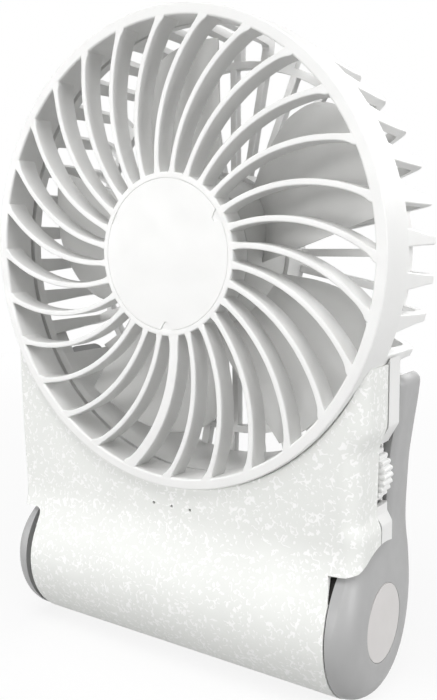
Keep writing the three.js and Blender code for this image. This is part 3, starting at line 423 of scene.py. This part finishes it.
white = plastic("white_plastic", (0.835, 0.835, 0.825), (0.815, 0.815, 0.805), 0.4, 0.2)
# The impeller is the same white plastic, made darker here as painted shade because it sits deep inside the
# cage.
blade_white_painted_shade = plastic("impeller_white_painted_shade", (0.62, 0.62, 0.61), (0.60, 0.60, 0.59), 0.4, 0.2)
shell = flecked("shell_plastic", (0.815, 0.825, 0.80), (0.79, 0.80, 0.775), (0.93, 0.93, 0.92))
rear_white = plastic("rear_shell_plastic", (0.82, 0.82, 0.81), (0.795, 0.795, 0.785), 0.36, 0.2)
grey = plastic("grey_plastic", (0.405, 0.405, 0.405), (0.38, 0.38, 0.38), 0.48, 0.45)
pale = plastic("pale_plastic", (0.665, 0.645, 0.635), (0.64, 0.62, 0.61), 0.42, 0.3)
dark = plastic("dark_plastic", (0.05, 0.05, 0.05), (0.035, 0.035, 0.035), 0.5, 0.3)
clear = plastic("clear_plastic", (0.20, 0.20, 0.20), (0.16, 0.16, 0.16), 0.2, 0.1)
green = plastic("circuit_board", (0.03, 0.15, 0.06), (0.02, 0.11, 0.045), 0.4, 0.4)
wrap = plastic("battery_wrap", (0.05, 0.16, 0.36), (0.04, 0.13, 0.31), 0.3, 0.15)
steel = metal("steel", (0.58, 0.59, 0.60), (0.48, 0.49, 0.50), 0.28)
sheets = metal("laminations", (0.26, 0.26, 0.27), (0.19, 0.19, 0.20), 0.45)
ferrite = plastic("ferrite", (0.05, 0.05, 0.052), (0.035, 0.035, 0.037), 0.65, 0.6)
bronze = metal("bronze", (0.58, 0.40, 0.17), (0.48, 0.32, 0.12), 0.35)
copper = metal("copper", (0.62, 0.27, 0.10), (0.50, 0.20, 0.07), 0.3)
fibre = plastic("fibre", (0.022, 0.02, 0.018), (0.015, 0.014, 0.013), 0.8, 0.8, 0.2)
SLOTS = {
    "white_plastic": white, "shell_plastic": shell, "grey_plastic": grey, "pale_plastic": pale,
    "dark_plastic": dark, "clear_plastic": clear, "circuit_board": green, "battery_wrap": wrap,
    "steel": steel, "laminations": sheets, "ferrite": ferrite, "bronze": bronze, "copper": copper,
    "fibre": fibre,
}


def dress_nodes():
    """Gives each CAD node the procedural material of its slot."""
    for part in frame["record"]["subparts"]:
        node = frame["nodes"][part["node"]]
        node.data.materials.clear()
        node.data.materials.append(SLOTS[part["material_slot"]])


# ---------- front grille ----------


def front_grille():
    """The rim with its skirt, the hub's cup and the curved vanes."""
    form = Form()
    skirt = RING_OUT - 1
    rim = [(RING_IN, RING_WALL), (RING_IN, 0), (RING_OUT, 0), (RING_OUT, RING_DEPTH), (skirt, RING_DEPTH),
           (skirt, RING_WALL)]
    form.lathe(rounded(rim, [0, 0.5, 0.4, 0.15, 0.15, 0]), 256)
    inner = HUB - HUB_WALL
    sink, floor = HUB_SINK, HUB_SINK + HUB_FLOOR
    cup = [(0.4, floor), (inner, floor), (inner, sink + 0.05), (inner + 0.1, sink)]
    cup += arc(HUB - HUB_ROUND, sink + HUB_ROUND, HUB_ROUND, -90, 0, 5)
    cup += [(HUB, HUB_DEPTH), (inner, HUB_DEPTH), (inner, HUB_WEB), (0.4, HUB_WEB)]
    form.turned(cup, 160)
    for index in range(VANES):
        vane(form, index)
    return form


def vane(form, index):
    """One vane: a band of a circle, which swells a little where it joins the hub and the rim."""
    width = THICK_VANE_WIDTH if index == THICK_VANE else VANE_WIDTH
    heading = (index + 0.5) / VANES * 2 * math.pi + VANE_BOW_ANGLE
    x, z = VANE_BOW_CENTRE * math.cos(heading), VANE_BOW_CENTRE * math.sin(heading)
    ends = [vane_angle(heading, HUB - 0.6), vane_angle(heading, RING_IN + 0.8)]
    rings = []
    for angle in np.linspace(*ends, 41):
        away = math.hypot(x + VANE_BOW * math.cos(angle), z + VANE_BOW * math.sin(angle))
        swell = math.exp(-max(0, RING_IN - away) / 0.8) + 0.7 * math.exp(-max(0, away - HUB) / 0.6)
        half = (width + swell) / 2
        front = SET_IN + HUB_SINK * min(1.0, max(0.0, (RING_IN - away) / (RING_IN - HUB)))
        section = rounded([(-half, front), (half, front), (half, VANE_DEPTH), (-half, VANE_DEPTH)],
                          [0.3, 0.3, 0.12, 0.12], 3)
        c, s = math.cos(angle), math.sin(angle)
        rings.append([(x + (VANE_BOW + u) * c, y, z + (VANE_BOW + u) * s) for u, y in section])
    form.loft(rings)


def vane_angle(heading, radius):
    """Where on its own circle a vane is this far from the fan's axis."""
    cosine = (VANE_BOW_CENTRE ** 2 + VANE_BOW ** 2 - radius ** 2) / (2 * VANE_BOW_CENTRE * VANE_BOW)
    return heading + math.pi - math.acos(cosine)


def hub_badge():
    """The bare disc in the hub, with three small notches in its edge."""
    radius = HUB - HUB_WALL - BADGE_GAP
    outline = []
    for notch in NOTCHES:
        outline += [(math.radians(notch + a), radius - deep) for a, deep in NOTCH]
        outline += [(math.radians(notch + NOTCH[-1][0] + i * 2), radius) for i in range(1, 54)]
    rings = []
    for y, inset in ((BADGE_DEPTH, 0.0), (0.12, 0.0), (0.04, 0.05), (0.0, 0.16)):
        rings.append([
            ((r - inset) * math.cos(a), HUB_SINK + y, (r - inset) * math.sin(a)) for a, r in outline
        ])
    return Form().loft(rings)


# ---------- rear grille ----------


def rear_grille():
    """The rear ring, the strip in the rim, the motor mount, the closed wall, bars and ribs."""
    form = Form()
    front = REAR - PLATE
    form.lathe(rounded(
        [(CAGE_RING_IN, front), (CAGE_RING_OUT, front), (CAGE_RING_OUT, REAR), (CAGE_RING_IN, REAR)],
        [0.2, 0.2, 0.35, 0.35], 3), 224)
    form.lathe(rounded(
        [(50.1, 9.6), (51.3, 9.6), (51.3, 10.6), (52.0, 10.6), (52.0, 11.9), (50.1, 11.9)],
        [0.2, 0.1, 0, 0.1, 0.3, 0.2], 2), 224)
    form.turned([
        (0.3, MOUNT_SEAT), (3.9, MOUNT_SEAT), (3.9, 25.0), (5.4, 25.0), (5.4, MOUNT_SEAT), (17.4, MOUNT_SEAT),
        (17.4, MOUNT_FRONT), (MOUNT, MOUNT_FRONT), (MOUNT, REAR - 0.5), (MOUNT - 0.15, REAR - 0.15),
        (MOUNT - 0.5, REAR), (MOUNT - 2.2, REAR), (MOUNT - 2.35, REAR - 0.3), (MOUNT - 2.85, REAR - 0.3),
        (MOUNT - 3.0, REAR), (0.3, REAR)], 128)
    wall = rounded([(50.2, 10.6), (51.7, 10.6), (51.7, 29.6), (50.2, 29.6)], 0.3, 2)
    form.lathe(wall, 96, WALL_FROM, WALL_TO)
    for index in range(BARS):
        bar(form, index * 2 * math.pi / BARS)
    for index in range(RIBS):
        angle = RIB_START + index * 360 / RIBS
        rib(form, math.radians(angle), not WALL_FROM < angle < WALL_TO)
    return form


def bar(form, angle):
    """One straight bar between the motor mount and the rear ring."""
    mark = len(form.points)
    half, front, back = BAR_WIDTH / 2, REAR - PLATE + SET_IN, REAR - SET_IN
    section = rounded([(-half, front), (half, front), (half, back), (-half, back)], [0.2, 0.2, 0.35, 0.35], 3)
    form.loft([[(r, y, u) for u, y in section] for r in (MOUNT - 0.7, CAGE_RING_IN + 0.8)])
    form.turn(angle, mark)


def rib(form, angle, with_leg):
    """One rib: along the back from the ring, then round the corner and forward as a leg."""
    mark = len(form.points)
    back, front = REAR - 2 * SET_IN, REAR - PLATE + 2 * SET_IN
    stations = [((CAGE_RING_OUT - 1.2, back), (CAGE_RING_OUT - 1.2, front), RIB_TIP, 0)]
    if with_leg:
        outer = arc(LEG_TIP_R - RIB_CORNER, back - RIB_CORNER, RIB_CORNER, 90, 3, 7)
        inner = arc(LEG_TIP_R - RIB_DEPTH - 1.3, front - 1.3, 1.3, 90, 3, 7)
        stations += [(o, i, RIB_TIP, 0) for o, i in zip(outer, inner)]
        for share in np.linspace(0, 1, 9)[1:]:
            y = front - 1.4 + (LEG_ROOT_Y - front + 1.4) * share
            r = LEG_TIP_R + (LEG_ROOT_R - LEG_TIP_R) * share
            wide = RIB_TIP + (RIB_ROOT - RIB_TIP) * share
            stations.append(((r, y), (r - RIB_DEPTH, y), wide, RIB_SKEW * share))
    else:
        stations.append(((LEG_TIP_R - 0.2, back), (LEG_TIP_R - 0.2, front), RIB_TIP, 0))
    rings = []
    for outer, inner, width, aside in stations:
        outer, inner = np.array(outer), np.array(inner)
        deep = np.linalg.norm(outer - inner)
        half = width / 2
        section = rounded([(-half, 0), (half, 0), (half, deep), (-half, deep)], [0.12, 0.12, 0.35, 0.35], 3)
        rings.append([(*(inner + (outer - inner) * v / deep), u + aside) for u, v in section])
    form.loft(rings)
    form.turn(angle, mark)


# ---------- impeller ----------


def impeller():
    """The cup over the motor, with its shaft seat, and five blades."""
    form = Form()
    wall = HUB - 1.4
    cup = [(0.4, IMPELLER_FRONT), *arc(HUB - HUB_ROUND, IMPELLER_FRONT + HUB_ROUND, HUB_ROUND, -90, 0, 4)]
    cup += [(HUB, IMPELLER_BACK), (wall, IMPELLER_BACK), (wall, 7.8), (3.4, 7.8), (3.4, 10.6),
            (1.3, 10.6), (1.3, 7.5), (0.4, 7.5)]
    form.turned(cup, 128)
    for index in range(BLADES):
        mark = len(form.points)
        blade(form)
        form.turn(index * 2 * math.pi / BLADES, mark)
    return form


def blade_edge(radius):
    """Angle of a blade's leading edge, a straight line that passes beside the axis."""
    return math.radians(BLADE_LEAD) - math.asin(BLADE_SKEW / radius)


def blade_rear(radius):
    """Angle of a blade's trailing edge, which curves in towards the tip."""
    start = HUB + (BLADE_TIP - HUB) * 0.51
    into = max(0.0, (radius - start) / (BLADE_TIP - start))
    swell = BLADE_SWELL * math.sin(math.pi * min(1.0, max(0.0, (radius - HUB) / 20)))
    return math.radians(BLADE_MIDDLE + BLADE_SPREAD * math.sqrt(max(0.0, 1 - into ** 2)) + swell)


def blade(form):
    """A twisted sheet that climbs backwards as it turns, thickest in the middle."""
    rings = []
    root = HUB - 0.8
    for span in np.linspace(0, 1, 41):
        radius = root + (BLADE_TIP - root) * (1 - (1 - span) ** 1.4)
        start, end = blade_edge(radius), blade_rear(radius)
        slope = (BLADE_BACK - BLADE_FRONT) / (math.radians(BLADE_MIDDLE + BLADE_SPREAD) - start)
        rise = math.atan2(slope, radius)
        ring = []
        along = np.concatenate([np.linspace(0, 1, 25), np.linspace(1, 0, 25)])
        for i, chord in enumerate(along):
            angle = start + (end - start) * chord
            depth = BLADE_FRONT + slope * (angle - start)
            side = 1 if i < 25 else -1
            full = min(1, 0.25 + 3 * math.sqrt(max(0, chord * (1 - chord))))
            half = side * BLADE_THICK * full * (1 - 0.25 * span) / 2
            turn = angle - half * math.sin(rise) / radius
            ring.append((radius * math.cos(turn), depth + half * math.cos(rise), radius * math.sin(turn)))
        rings.append(ring)
    form.loft(rings)


# ---------- body ----------


def side_at(points, z, smooth=0.0):
    """Half width at a height, read from a list from the top down, and eased over a stretch."""
    levels, widths = zip(*points[::-1])
    if not smooth:
        return float(np.interp(z, levels, widths))
    return float(np.mean(np.interp(z + np.linspace(-smooth, smooth, 9), levels, widths)))


def slab(smooth, inset=0.0, right_side=RIGHT_SIDE, front=BODY_FRONT, back=BODY_BACK,
         radii=(0.5, 1.6, 4.3, 0.5)):
    """The body above the barrel: its front is flat, and hollow towards the barrel."""
    levels = np.concatenate([np.arange(FILLET_END, -19.2, 0.6), [-19, -35.1, -39.5, -54.4, -56.5]])
    rings = []
    for z in np.unique(levels):
        left = -side_at(LEFT_SIDE, z, smooth) + inset
        right = side_at(right_side, z, smooth) - inset
        under = max(0.0, HINGE_Z + FILLET_RISE - z)
        face = front - FILLET + math.sqrt(FILLET ** 2 - under ** 2)
        ring = rounded([(left, back), (left, face), (right, face), (right, back)], radii, 8)
        rings.append([(x, y, z) for x, y in ring])
    return Form().loft(rings)


def wing_cut(side, radius, start):
    """The round room for a cheek, beside the barrel and under a wing."""
    return Form().across([(radius, side * start), (radius, side * 56)], 128)


def left_wing_cut():
    """The cut under the left wing, soft at the barrel's end and at the wing's corner."""
    profile = [(0.5, BARREL_HALF)]
    profile += [(r, x) for x, r in arc(BARREL_HALF + 1.5, WING - 1.5, 1.5, 180, 90, 6)]
    profile += [(r, x) for x, r in arc(46.7, WING + 1.5, 1.5, -90, 0, 6)]
    profile += [(WING + 6, 48.6), (WING + 6, 56), (0.5, 56)]
    return Form().across([(r, -x) for r, x in profile], 128)


def wing_trims():
    """Level cuts under both wings, where they reach the front; the left one is soft."""
    right = [(BARREL_HALF, -80), (60, -80), (60, WING_LOW + 2.6), (47.6, WING_LOW + 1.8),
             (46.2, WING_LOW + 1.0), (44.4, WING_LOW + 0.45), (BARREL_HALF, WING_LOW + 0.3)]
    left = [(-60, -80), (-BARREL_HALF, -80)]
    left += arc(-BARREL_HALF - 1.5, WING_LOW - 1.5, 1.5, 0, 90, 6)
    left += arc(-46.5, WING_LOW + 1.5, 1.5, -90, -180, 6)
    left += [(-60, WING_LOW + 1.6)]
    return [Form().loft([[(x, y, z) for x, z in ring] for y in (-10, 4)]) for ring in (right, left)]


def bore_cut(radius, lip):
    """The round opening for the fan, with a soft lip at its front rim."""
    profile = [(0.5, -4), (radius + lip, -4), (radius + lip, BODY_FRONT)]
    profile += [(radius + lip - lip * math.sin(a), BODY_FRONT + lip - lip * math.cos(a))
                for a in np.linspace(0, math.pi / 2, 7)[1:]]
    profile += [(radius, 40), (0.5, 40)]
    return Form().turned(profile, 256)


def end_relief():
    """The dark wedge between the barrel's right end and the cheek, under the wing."""
    rings = []
    for angle, start, top in END_WEDGE:
        c, s = math.cos(math.radians(angle)), math.sin(math.radians(angle))
        corners = ((WEDGE_IN, start), (top, start), (top, WEDGE_END), (WEDGE_IN, WEDGE_END))
        rings.append([(x, HINGE_Y + r * c, HINGE_Z + r * s) for r, x in corners])
    return Form().loft(rings)


def barrel_form(radius, half, edge=0.0):
    """A barrel on the hinge's axis, plain or with rounded ends."""
    if not edge:
        return Form().across([(radius, -half), (radius, half)], 160)
    left = [(radius - edge + edge * math.sin(a), -half + edge - edge * math.cos(a))
            for a in np.linspace(0, math.pi / 2, 5)]
    return Form().across(left + [(r, -x) for r, x in reversed(left)], 160)


def body_lump(smooth, right_side=RIGHT_SIDE):
    """The outside of both shells together: slab, wings and barrel."""
    lump = slab(smooth, 0, right_side).object()
    combine(lump, "DIFFERENCE", bore_cut(BORE, BORE_LIP))
    combine(lump, "DIFFERENCE", wing_cut(1, WING, BARREL_HALF), *wing_trims())
    combine(lump, "UNION", barrel_form(BARREL, BARREL_HALF, 0.25))
    combine(lump, "DIFFERENCE", left_wing_cut())
    combine(lump, "DIFFERENCE", end_relief())
    return lump


def body_room():
    """The inside of the shells, around the screw pillars."""
    room = slab(0.6, SHELL, RIGHT_SIDE, BODY_FRONT + SHELL, BODY_BACK - SHELL, (0, 0, 0, 0)).object()
    end = BARREL_HALF - BARREL_END_WALL
    combine(room, "DIFFERENCE", bore_cut(BORE + 1.2, 0.01))
    combine(room, "DIFFERENCE", wing_cut(1, WING + SHELL, end), wing_cut(-1, WING + SHELL, end))
    for x, z in SCREWS:
        combine(room, "DIFFERENCE", Form().drum(x, z, SCREW_PILLAR, 0, 20, 32))
    combine(room, "UNION", barrel_form(BARREL - BARREL_WALL, end))
    return room


def hollowed(lump):
    """Takes the room and the hinge holes out of the body."""
    return combine(lump, "DIFFERENCE", body_room(), Form().across([(HINGE_HOLE, -60), (HINGE_HOLE, 60)], 48))


def body_shells():
    """The front and the rear shell, parted at the seam."""
    low, high = (-60, -10, -100), (60, 40, 10)
    front = hollowed(body_lump(1.2))
    combine(front, "INTERSECT", Form().block(low, (high[0], SEAM, high[2])))
    combine(front, "DIFFERENCE", Form().block((HORN_X, -10, HORN_TOP), (60, 20, -10)))
    for x in LIGHTS:
        combine(front, "DIFFERENCE", Form().drum(x, LIGHTS_Z, LIGHT_HOLE, -2, 6, 24))
    combine(front, "DIFFERENCE", socket_mouth())
    rear = hollowed(body_lump(0.25, REAR_RIGHT_SIDE))
    combine(rear, "INTERSECT", Form().block((low[0], SEAM + SEAM_GAP, low[2]), high))
    back, below, above = DIAL_BACK + DIAL_ROOM_BACK, DIAL_Z - SLOT_BELOW, DIAL_Z + SLOT_ABOVE
    combine(rear, "DIFFERENCE", Form().drum(DIAL_X, DIAL_Z, DIAL_R + DIAL_ROOM, 10, back, 96))
    combine(rear, "DIFFERENCE", Form().block((DIAL_X, 10, below), (60, back, above)))
    combine(rear, "DIFFERENCE", Form().block((SLOT_SIDE, 14, below), (60, 20, above)))
    for x, z in SCREWS:
        combine(rear, "DIFFERENCE", Form().drum(x, z, SCREW_HOLE, 4, 17, 24),
                Form().drum(x, z, SCREW_SINK, 15.9, 20, 40))
    return front, rear


def socket_mouth():
    """The opening for the charging plug: a slot with round ends in the left side."""
    ring = []
    for centre, start in ((SOCKET_REACH, 0), (-SOCKET_REACH, 180)):
        for a in np.radians(np.linspace(start, start + 180, 13)):
            y, z = SOCKET_Y + SOCKET_ROUND * math.cos(a), SOCKET_Z + centre + SOCKET_ROUND * math.sin(a)
            ring.append((y, z))
    return Form().loft([[(x, y, z) for y, z in ring] for x in (SOCKET_FROM, SOCKET_TO)])


# ---------- dial, stand and small pieces ----------


def speed_dial():
    """The toothed wheel of the speed control, round a hole for its spindle."""
    angles = np.linspace(0, 2 * math.pi, DIAL_TEETH * 12, endpoint=False)
    swing = np.abs(np.cos(angles * DIAL_TEETH / 2))

    def ring(y, inset):
        radii = DIAL_R - inset - DIAL_TOOTH * (1 - swing)
        return [(DIAL_X + r * math.cos(a), y, DIAL_Z + r * math.sin(a)) for r, a in zip(radii, angles)]

    def hole(y):
        return [(DIAL_X + DIAL_HOLE * math.cos(a), y, DIAL_Z + DIAL_HOLE * math.sin(a)) for a in angles]

    front, back = DIAL_FRONT, DIAL_BACK
    return Form().loft([
        ring(front, 0.2), ring(front + 0.1, 0.05), ring(front + 0.25, 0), ring(back - 0.5, 0),
        ring(back - 0.15, 0.25), ring(back, 0.55), hole(back), hole(front)], closed=True)


def eased(value, low, high):
    """0 at low, 1 at high, with a soft start and end."""
    t = min(1.0, max(0.0, (value - low) / (high - low)))
    return t * t * (3 - 2 * t)


def stand_half(side, y, z):
    """How far the stand reaches to one side: a flat face whose edges roll off."""
    _, out, cheek_round = CHEEKS[side]
    up = z - HINGE_Z
    near = eased(up, -6, 14)
    flat = out + (side_at(STAND_SIDE, z, 2.0) - out) * eased(up, 3, 21)
    disc = min(1.0, (CHEEK - math.hypot(y - HINGE_Y, up)) / cheek_round)
    high = eased(up, 13, 23)
    rear, top = (STAND_BACK - y) / STAND_EDGE, (STAND_TOP - z) / STAND_TOP_ROUND
    front = (y - 9.0 - 8.6 * high) / (9.0 - 6.0 * high)
    strip = 1 - math.sqrt(sum(max(0.0, 1 - u) ** 2 for u in (rear, top, front)))
    more = near * max(0.0, strip - disc + math.sqrt((strip - disc) ** 2 + 0.02)) / 2
    share = disc + more if up < CHEEK else strip
    roll = cheek_round + (STAND_EDGE - cheek_round) * near
    share = min(1.0, max(0.0, share))
    return flat - roll * (1 - math.sqrt(max(0.0, 1 - (1 - share) ** 2)))


def stand_form():
    """The whole stand as level slices, from under the cheeks to the top edge."""
    low = [(HINGE_Z - CHEEK * math.cos(a), 0) for a in np.linspace(0.02, math.pi - 0.02, 72)]
    high = [(z, 1) for z in np.linspace(HINGE_Z + CHEEK + 0.03, STAND_TOP - STAND_TOP_ROUND, 46)]
    high += [(STAND_TOP - STAND_TOP_ROUND * (1 - math.sin(a)), 1) for a in np.linspace(0.1, math.pi / 2, 9)]
    rings = []
    for z, above in low + high:
        up = z - HINGE_Z
        reach = math.sqrt(max(0.0, CHEEK ** 2 - up ** 2))
        front, back = HINGE_Y - reach, HINGE_Y + reach
        if above:
            front = STAND_FRONT
        if above or up > 0:
            back = STAND_BACK + (HINGE_Y + CHEEK - STAND_BACK) * (1 - eased(up, 0, 14))
        slack = max(0.0, 1 - (STAND_TOP - z) / STAND_TOP_ROUND)
        drop = STAND_TOP_ROUND * (1 - math.sqrt(1 - slack ** 2))
        front, back = front + drop * 0.2, back - drop
        levels = (front + back) / 2 - (back - front) / 2 * np.cos(np.linspace(0, math.pi, 33))
        ring = [(stand_half(1, y, z), y, z) for y in levels]
        ring += [(-stand_half(-1, y, z), y, z) for y in levels[::-1]]
        rings.append(ring)
    return Form().loft(rings)


def stand():
    """The stand, hollowed for the fan, the barrel, its cover and the hinge."""
    made = stand_form().object()
    combine(made, "DIFFERENCE", Form().turned([(STAND_BORE, 5), (STAND_BORE, 45)], 256))
    right, left = CHEEKS[1][0], -CHEEKS[-1][0]
    combine(made, "DIFFERENCE", Form().across([(STAND_GROOVE, left), (STAND_GROOVE, right)], 160))
    combine(made, "DIFFERENCE", Form().block((left, -10, -99), (right, 45, HINGE_Z + STAND_OPEN)))
    combine(made, "DIFFERENCE", cover_room(0.0, STAND_FRONT - 2, STAND_FRONT + 1.8))
    for side in CHEEKS:
        combine(made, "DIFFERENCE", Form().across([
            (HINGE_HOLE, side * 40), (HINGE_HOLE, side * HEAD_SEAT), (HEAD_POCKET, side * HEAD_SEAT),
            (HEAD_POCKET, side * CAP_SEAT), (CAP + 0.06, side * CAP_SEAT), (CAP + 0.06, side * 50)], 128))
    return made


def cover_room(clearance, front, back):
    """The cover in the stand's front face, or with no clearance the room for it."""
    rings = []
    for z in np.linspace(HINGE_Z, STAND_TOP - 2.5 - clearance, 40):
        half = side_at(STAND_SIDE, z, 2.0) - COVER_MARGIN - clearance
        rings.append([(x, y, z) for x, y in ((-half, front), (half, front), (half, back), (-half, back))])
    room = Form().loft(rings).object("room")
    bore, groove = COVER_BORE + clearance, COVER_GROOVE + clearance
    combine(room, "DIFFERENCE", Form().turned([(bore, 5), (bore, 45)], 256))
    combine(room, "DIFFERENCE", Form().across([(groove, -60), (groove, 60)], 128))
    combine(room, "DIFFERENCE", Form().block((-60, 0, -100), (60, 60, HINGE_Z + BARREL + 2.2 + clearance)))
    return room


def pivot_cap(side):
    """The pale round cap over the hinge screw, flush with the cheek."""
    out = CHEEKS[side][1]
    profile = [(0.3, CAP_INNER), (CAP, CAP_INNER), (CAP, out - 0.15), (CAP - 0.05, out - 0.04),
               (CAP - 0.15, out), (0.3, out)]
    return Form().across([(r, side * x) for r, x in profile], 128)


def washer(side):
    """The dark friction ring between the barrel's end and the cheek; the wide right one also fills the wedge
    there with painted shade.
    """
    start, end = CHEEKS[side][0] - WASHER_DEPTH, CHEEKS[side][0] - WASHER_GAP
    profile = [(HINGE_HOLE, start), (HINGE_HOLE, end), (WASHERS[side], end), (WASHERS[side], start)]
    return Form().across([(r, side * x) for r, x in profile], 96)


def pin(x, z, profile, steps):
    """A round pin along the fan's axis, from radii and their depths."""
    angles = np.radians(np.linspace(0, 360, steps, endpoint=False))
    return Form().loft([[(x + r * math.cos(a), y, z + r * math.sin(a)) for a in angles] for r, y in profile])


def light_pipe(x):
    """The clear pipe of one charge light, just behind its hole."""
    return pin(x, LIGHTS_Z, [(0.28, 7.9), (0.28, 2.1), (0.2, 2.0), (0.08, 1.95)], 20)


def shell_screw(x, z):
    """A small pan-head screw with a cross recess, seen from behind."""
    profile = [(0.2, 4.3), (0.9, 4.6), (0.9, 16.2), (1.8, 16.2), (1.8, 17.1), (1.65, 17.4), (1.3, 17.55),
               (0.2, 17.6)]
    made = pin(x, z, profile, 32).object("screw")
    for wide, tall in ((0.95, 0.22), (0.22, 0.95)):
        combine(made, "DIFFERENCE", Form().block((x - wide, 16.9, z - tall), (x + wide, 18, z + tall)))
    return made


def build():
    """Every piece, with its body, its material and the nodes that it stands for."""
    dress_nodes()
    piece(front_grille(), "grille_front", "housing", white, ["front_grille"])
    piece(hub_badge(), "badge", "housing", white, ["hub_badge"])
    piece(rear_grille(), "grille_rear", "housing", white, ["rear_grille"])
    piece(impeller(), "fan_wheel", "rotor", blade_white_painted_shade, ["impeller"])
    front, rear = body_shells()
    piece(front, "shell_front", "housing", shell, ["front_shell"], bevel=0.3)
    piece(rear, "shell_rear", "housing", rear_white, ["rear_shell"], bevel=0.2)
    piece(speed_dial(), "dial", "dial", white, ["speed_dial"], sharp=50)
    piece(stand(), "stand", "stand", grey, ["stand_frame"], bevel=0.4)
    cover = cover_room(0.2, STAND_FRONT + 0.05, STAND_FRONT + 1.5)
    piece(cover, "cover", "stand", grey, ["stand_cover"], bevel=0.15)
    for side, name in ((1, "right"), (-1, "left")):
        piece(pivot_cap(side), f"cap_{name}", "stand", pale, [f"pivot_cap_{name}"])
        piece(washer(side), f"washer_{name}", "housing", fibre, [f"friction_washer_{name}"])
    for i, x in enumerate(LIGHTS):
        piece(light_pipe(x), f"light_{i + 1}", "housing", clear, [f"light_pipe_{i + 1}"])
    for i, (x, z) in enumerate(SCREWS):
        piece(shell_screw(x, z), f"screw_{i + 1}", "housing", steel, [f"shell_screw_{i + 1}"])


# ---------- camera, floor and light ----------


def make_camera():
    """The photograph's own camera, as it was fitted to the ring, the hub and the barrel."""
    axis = Vector(CAMERA_TURN)
    turn = Matrix.Rotation(axis.length, 3, axis.normalized())
    data = bpy.data.cameras.new("camera")
    data.sensor_width = SENSOR
    data.lens = SENSOR * CAMERA_FOCUS / PICTURE_HEIGHT
    camera = bpy.data.objects.new("camera", data)
    bpy.context.scene.collection.objects.link(camera)
    right, forward, up = (turn @ Vector(v) for v in ((1, 0, 0), (0, 1, 0), (0, 0, 1)))
    place = Matrix.Translation((np.array(CAMERA_AT) + CENTRE) * MM)
    camera.matrix_world = place @ Matrix((right, up, -forward)).transposed().to_4x4()
    bpy.context.scene.camera = camera


def area(name, turn, rise, power):
    """A round soft light that faces the object, turned from the front to the right and raised."""
    data = bpy.data.lights.new(name, "AREA")
    data.shape, data.size, data.energy = "DISK", LAMP_SIZE, power
    light = bpy.data.objects.new(name, data)
    bpy.context.scene.collection.objects.link(light)
    turn, rise = math.radians(turn), math.radians(rise)
    toward = Vector((math.sin(turn) * math.cos(rise), -math.cos(turn) * math.cos(rise), math.sin(rise)))
    light.visible_camera = False
    light.location = Vector(LAMP_TARGET) + toward * LAMP_AWAY
    light.rotation_mode = "QUATERNION"
    light.rotation_quaternion = toward.to_track_quat("Z", "Y")


def seen_directly(tree):
    """1 where the camera, a mirror image or a clear material shows the surface itself."""
    path = tree.nodes.new("ShaderNodeLightPath")
    value = path.outputs["Is Camera Ray"]
    for name in ("Is Glossy Ray", "Is Transmission Ray"):
        value = compute(tree, "MAXIMUM", value, path.outputs[name])
    return value


def make_world():
    """White where it is seen; it lights nothing."""
    world = bpy.data.worlds.new("world")
    bpy.context.scene.world = world
    world.use_nodes = True
    tree = world.node_tree
    background = tree.nodes["Background"]
    background.inputs["Color"].default_value = (1, 1, 1, 1)
    tree.links.new(ramp(tree, seen_directly(tree), 0, 1, 0.0, 1.0), background.inputs["Strength"])


def make_floor():
    """A pale floor that keeps the object's shadow and fades to white around it."""
    mesh = bpy.data.meshes.new("floor")
    far = FLOOR_HALF
    mesh.from_pydata([(-far, -far, 0), (far, -far, 0), (far, far, 0), (-far, far, 0)], [], [(0, 1, 2, 3)])
    floor = bpy.data.objects.new("floor", mesh)
    bpy.context.scene.collection.objects.link(floor)
    floor.location.z = -FLOOR_DROP
    material, tree, shader = new_material("floor")
    tree.links.new(mix(tree, seen_directly(tree), FLOOR_TONE, FLOOR_SEEN), shader.inputs["Base Color"])
    shader.inputs["Roughness"].default_value = 0.9
    glow = tree.nodes.new("ShaderNodeEmission")
    blend = tree.nodes.new("ShaderNodeMixShader")
    away = tree.nodes.new("ShaderNodeVectorMath")
    away.operation = "LENGTH"
    tree.links.new(coordinates(tree), away.inputs[0])
    near_to_far = ramp(tree, away.outputs["Value"], 0.06, 0.55, 0.86, 1.0)
    tree.links.new(compute(tree, "MULTIPLY", seen_directly(tree), near_to_far), blend.inputs[0])
    tree.links.new(shader.outputs[0], blend.inputs[1])
    tree.links.new(glow.outputs[0], blend.inputs[2])
    tree.links.new(blend.outputs[0], tree.nodes["Material Output"].inputs["Surface"])
    floor.data.materials.append(material)


make_camera()
build()
make_world()
make_floor()
for lamp in LAMPS:
    area(*lamp)
bpy.context.scene.view_settings.view_transform = "Standard"
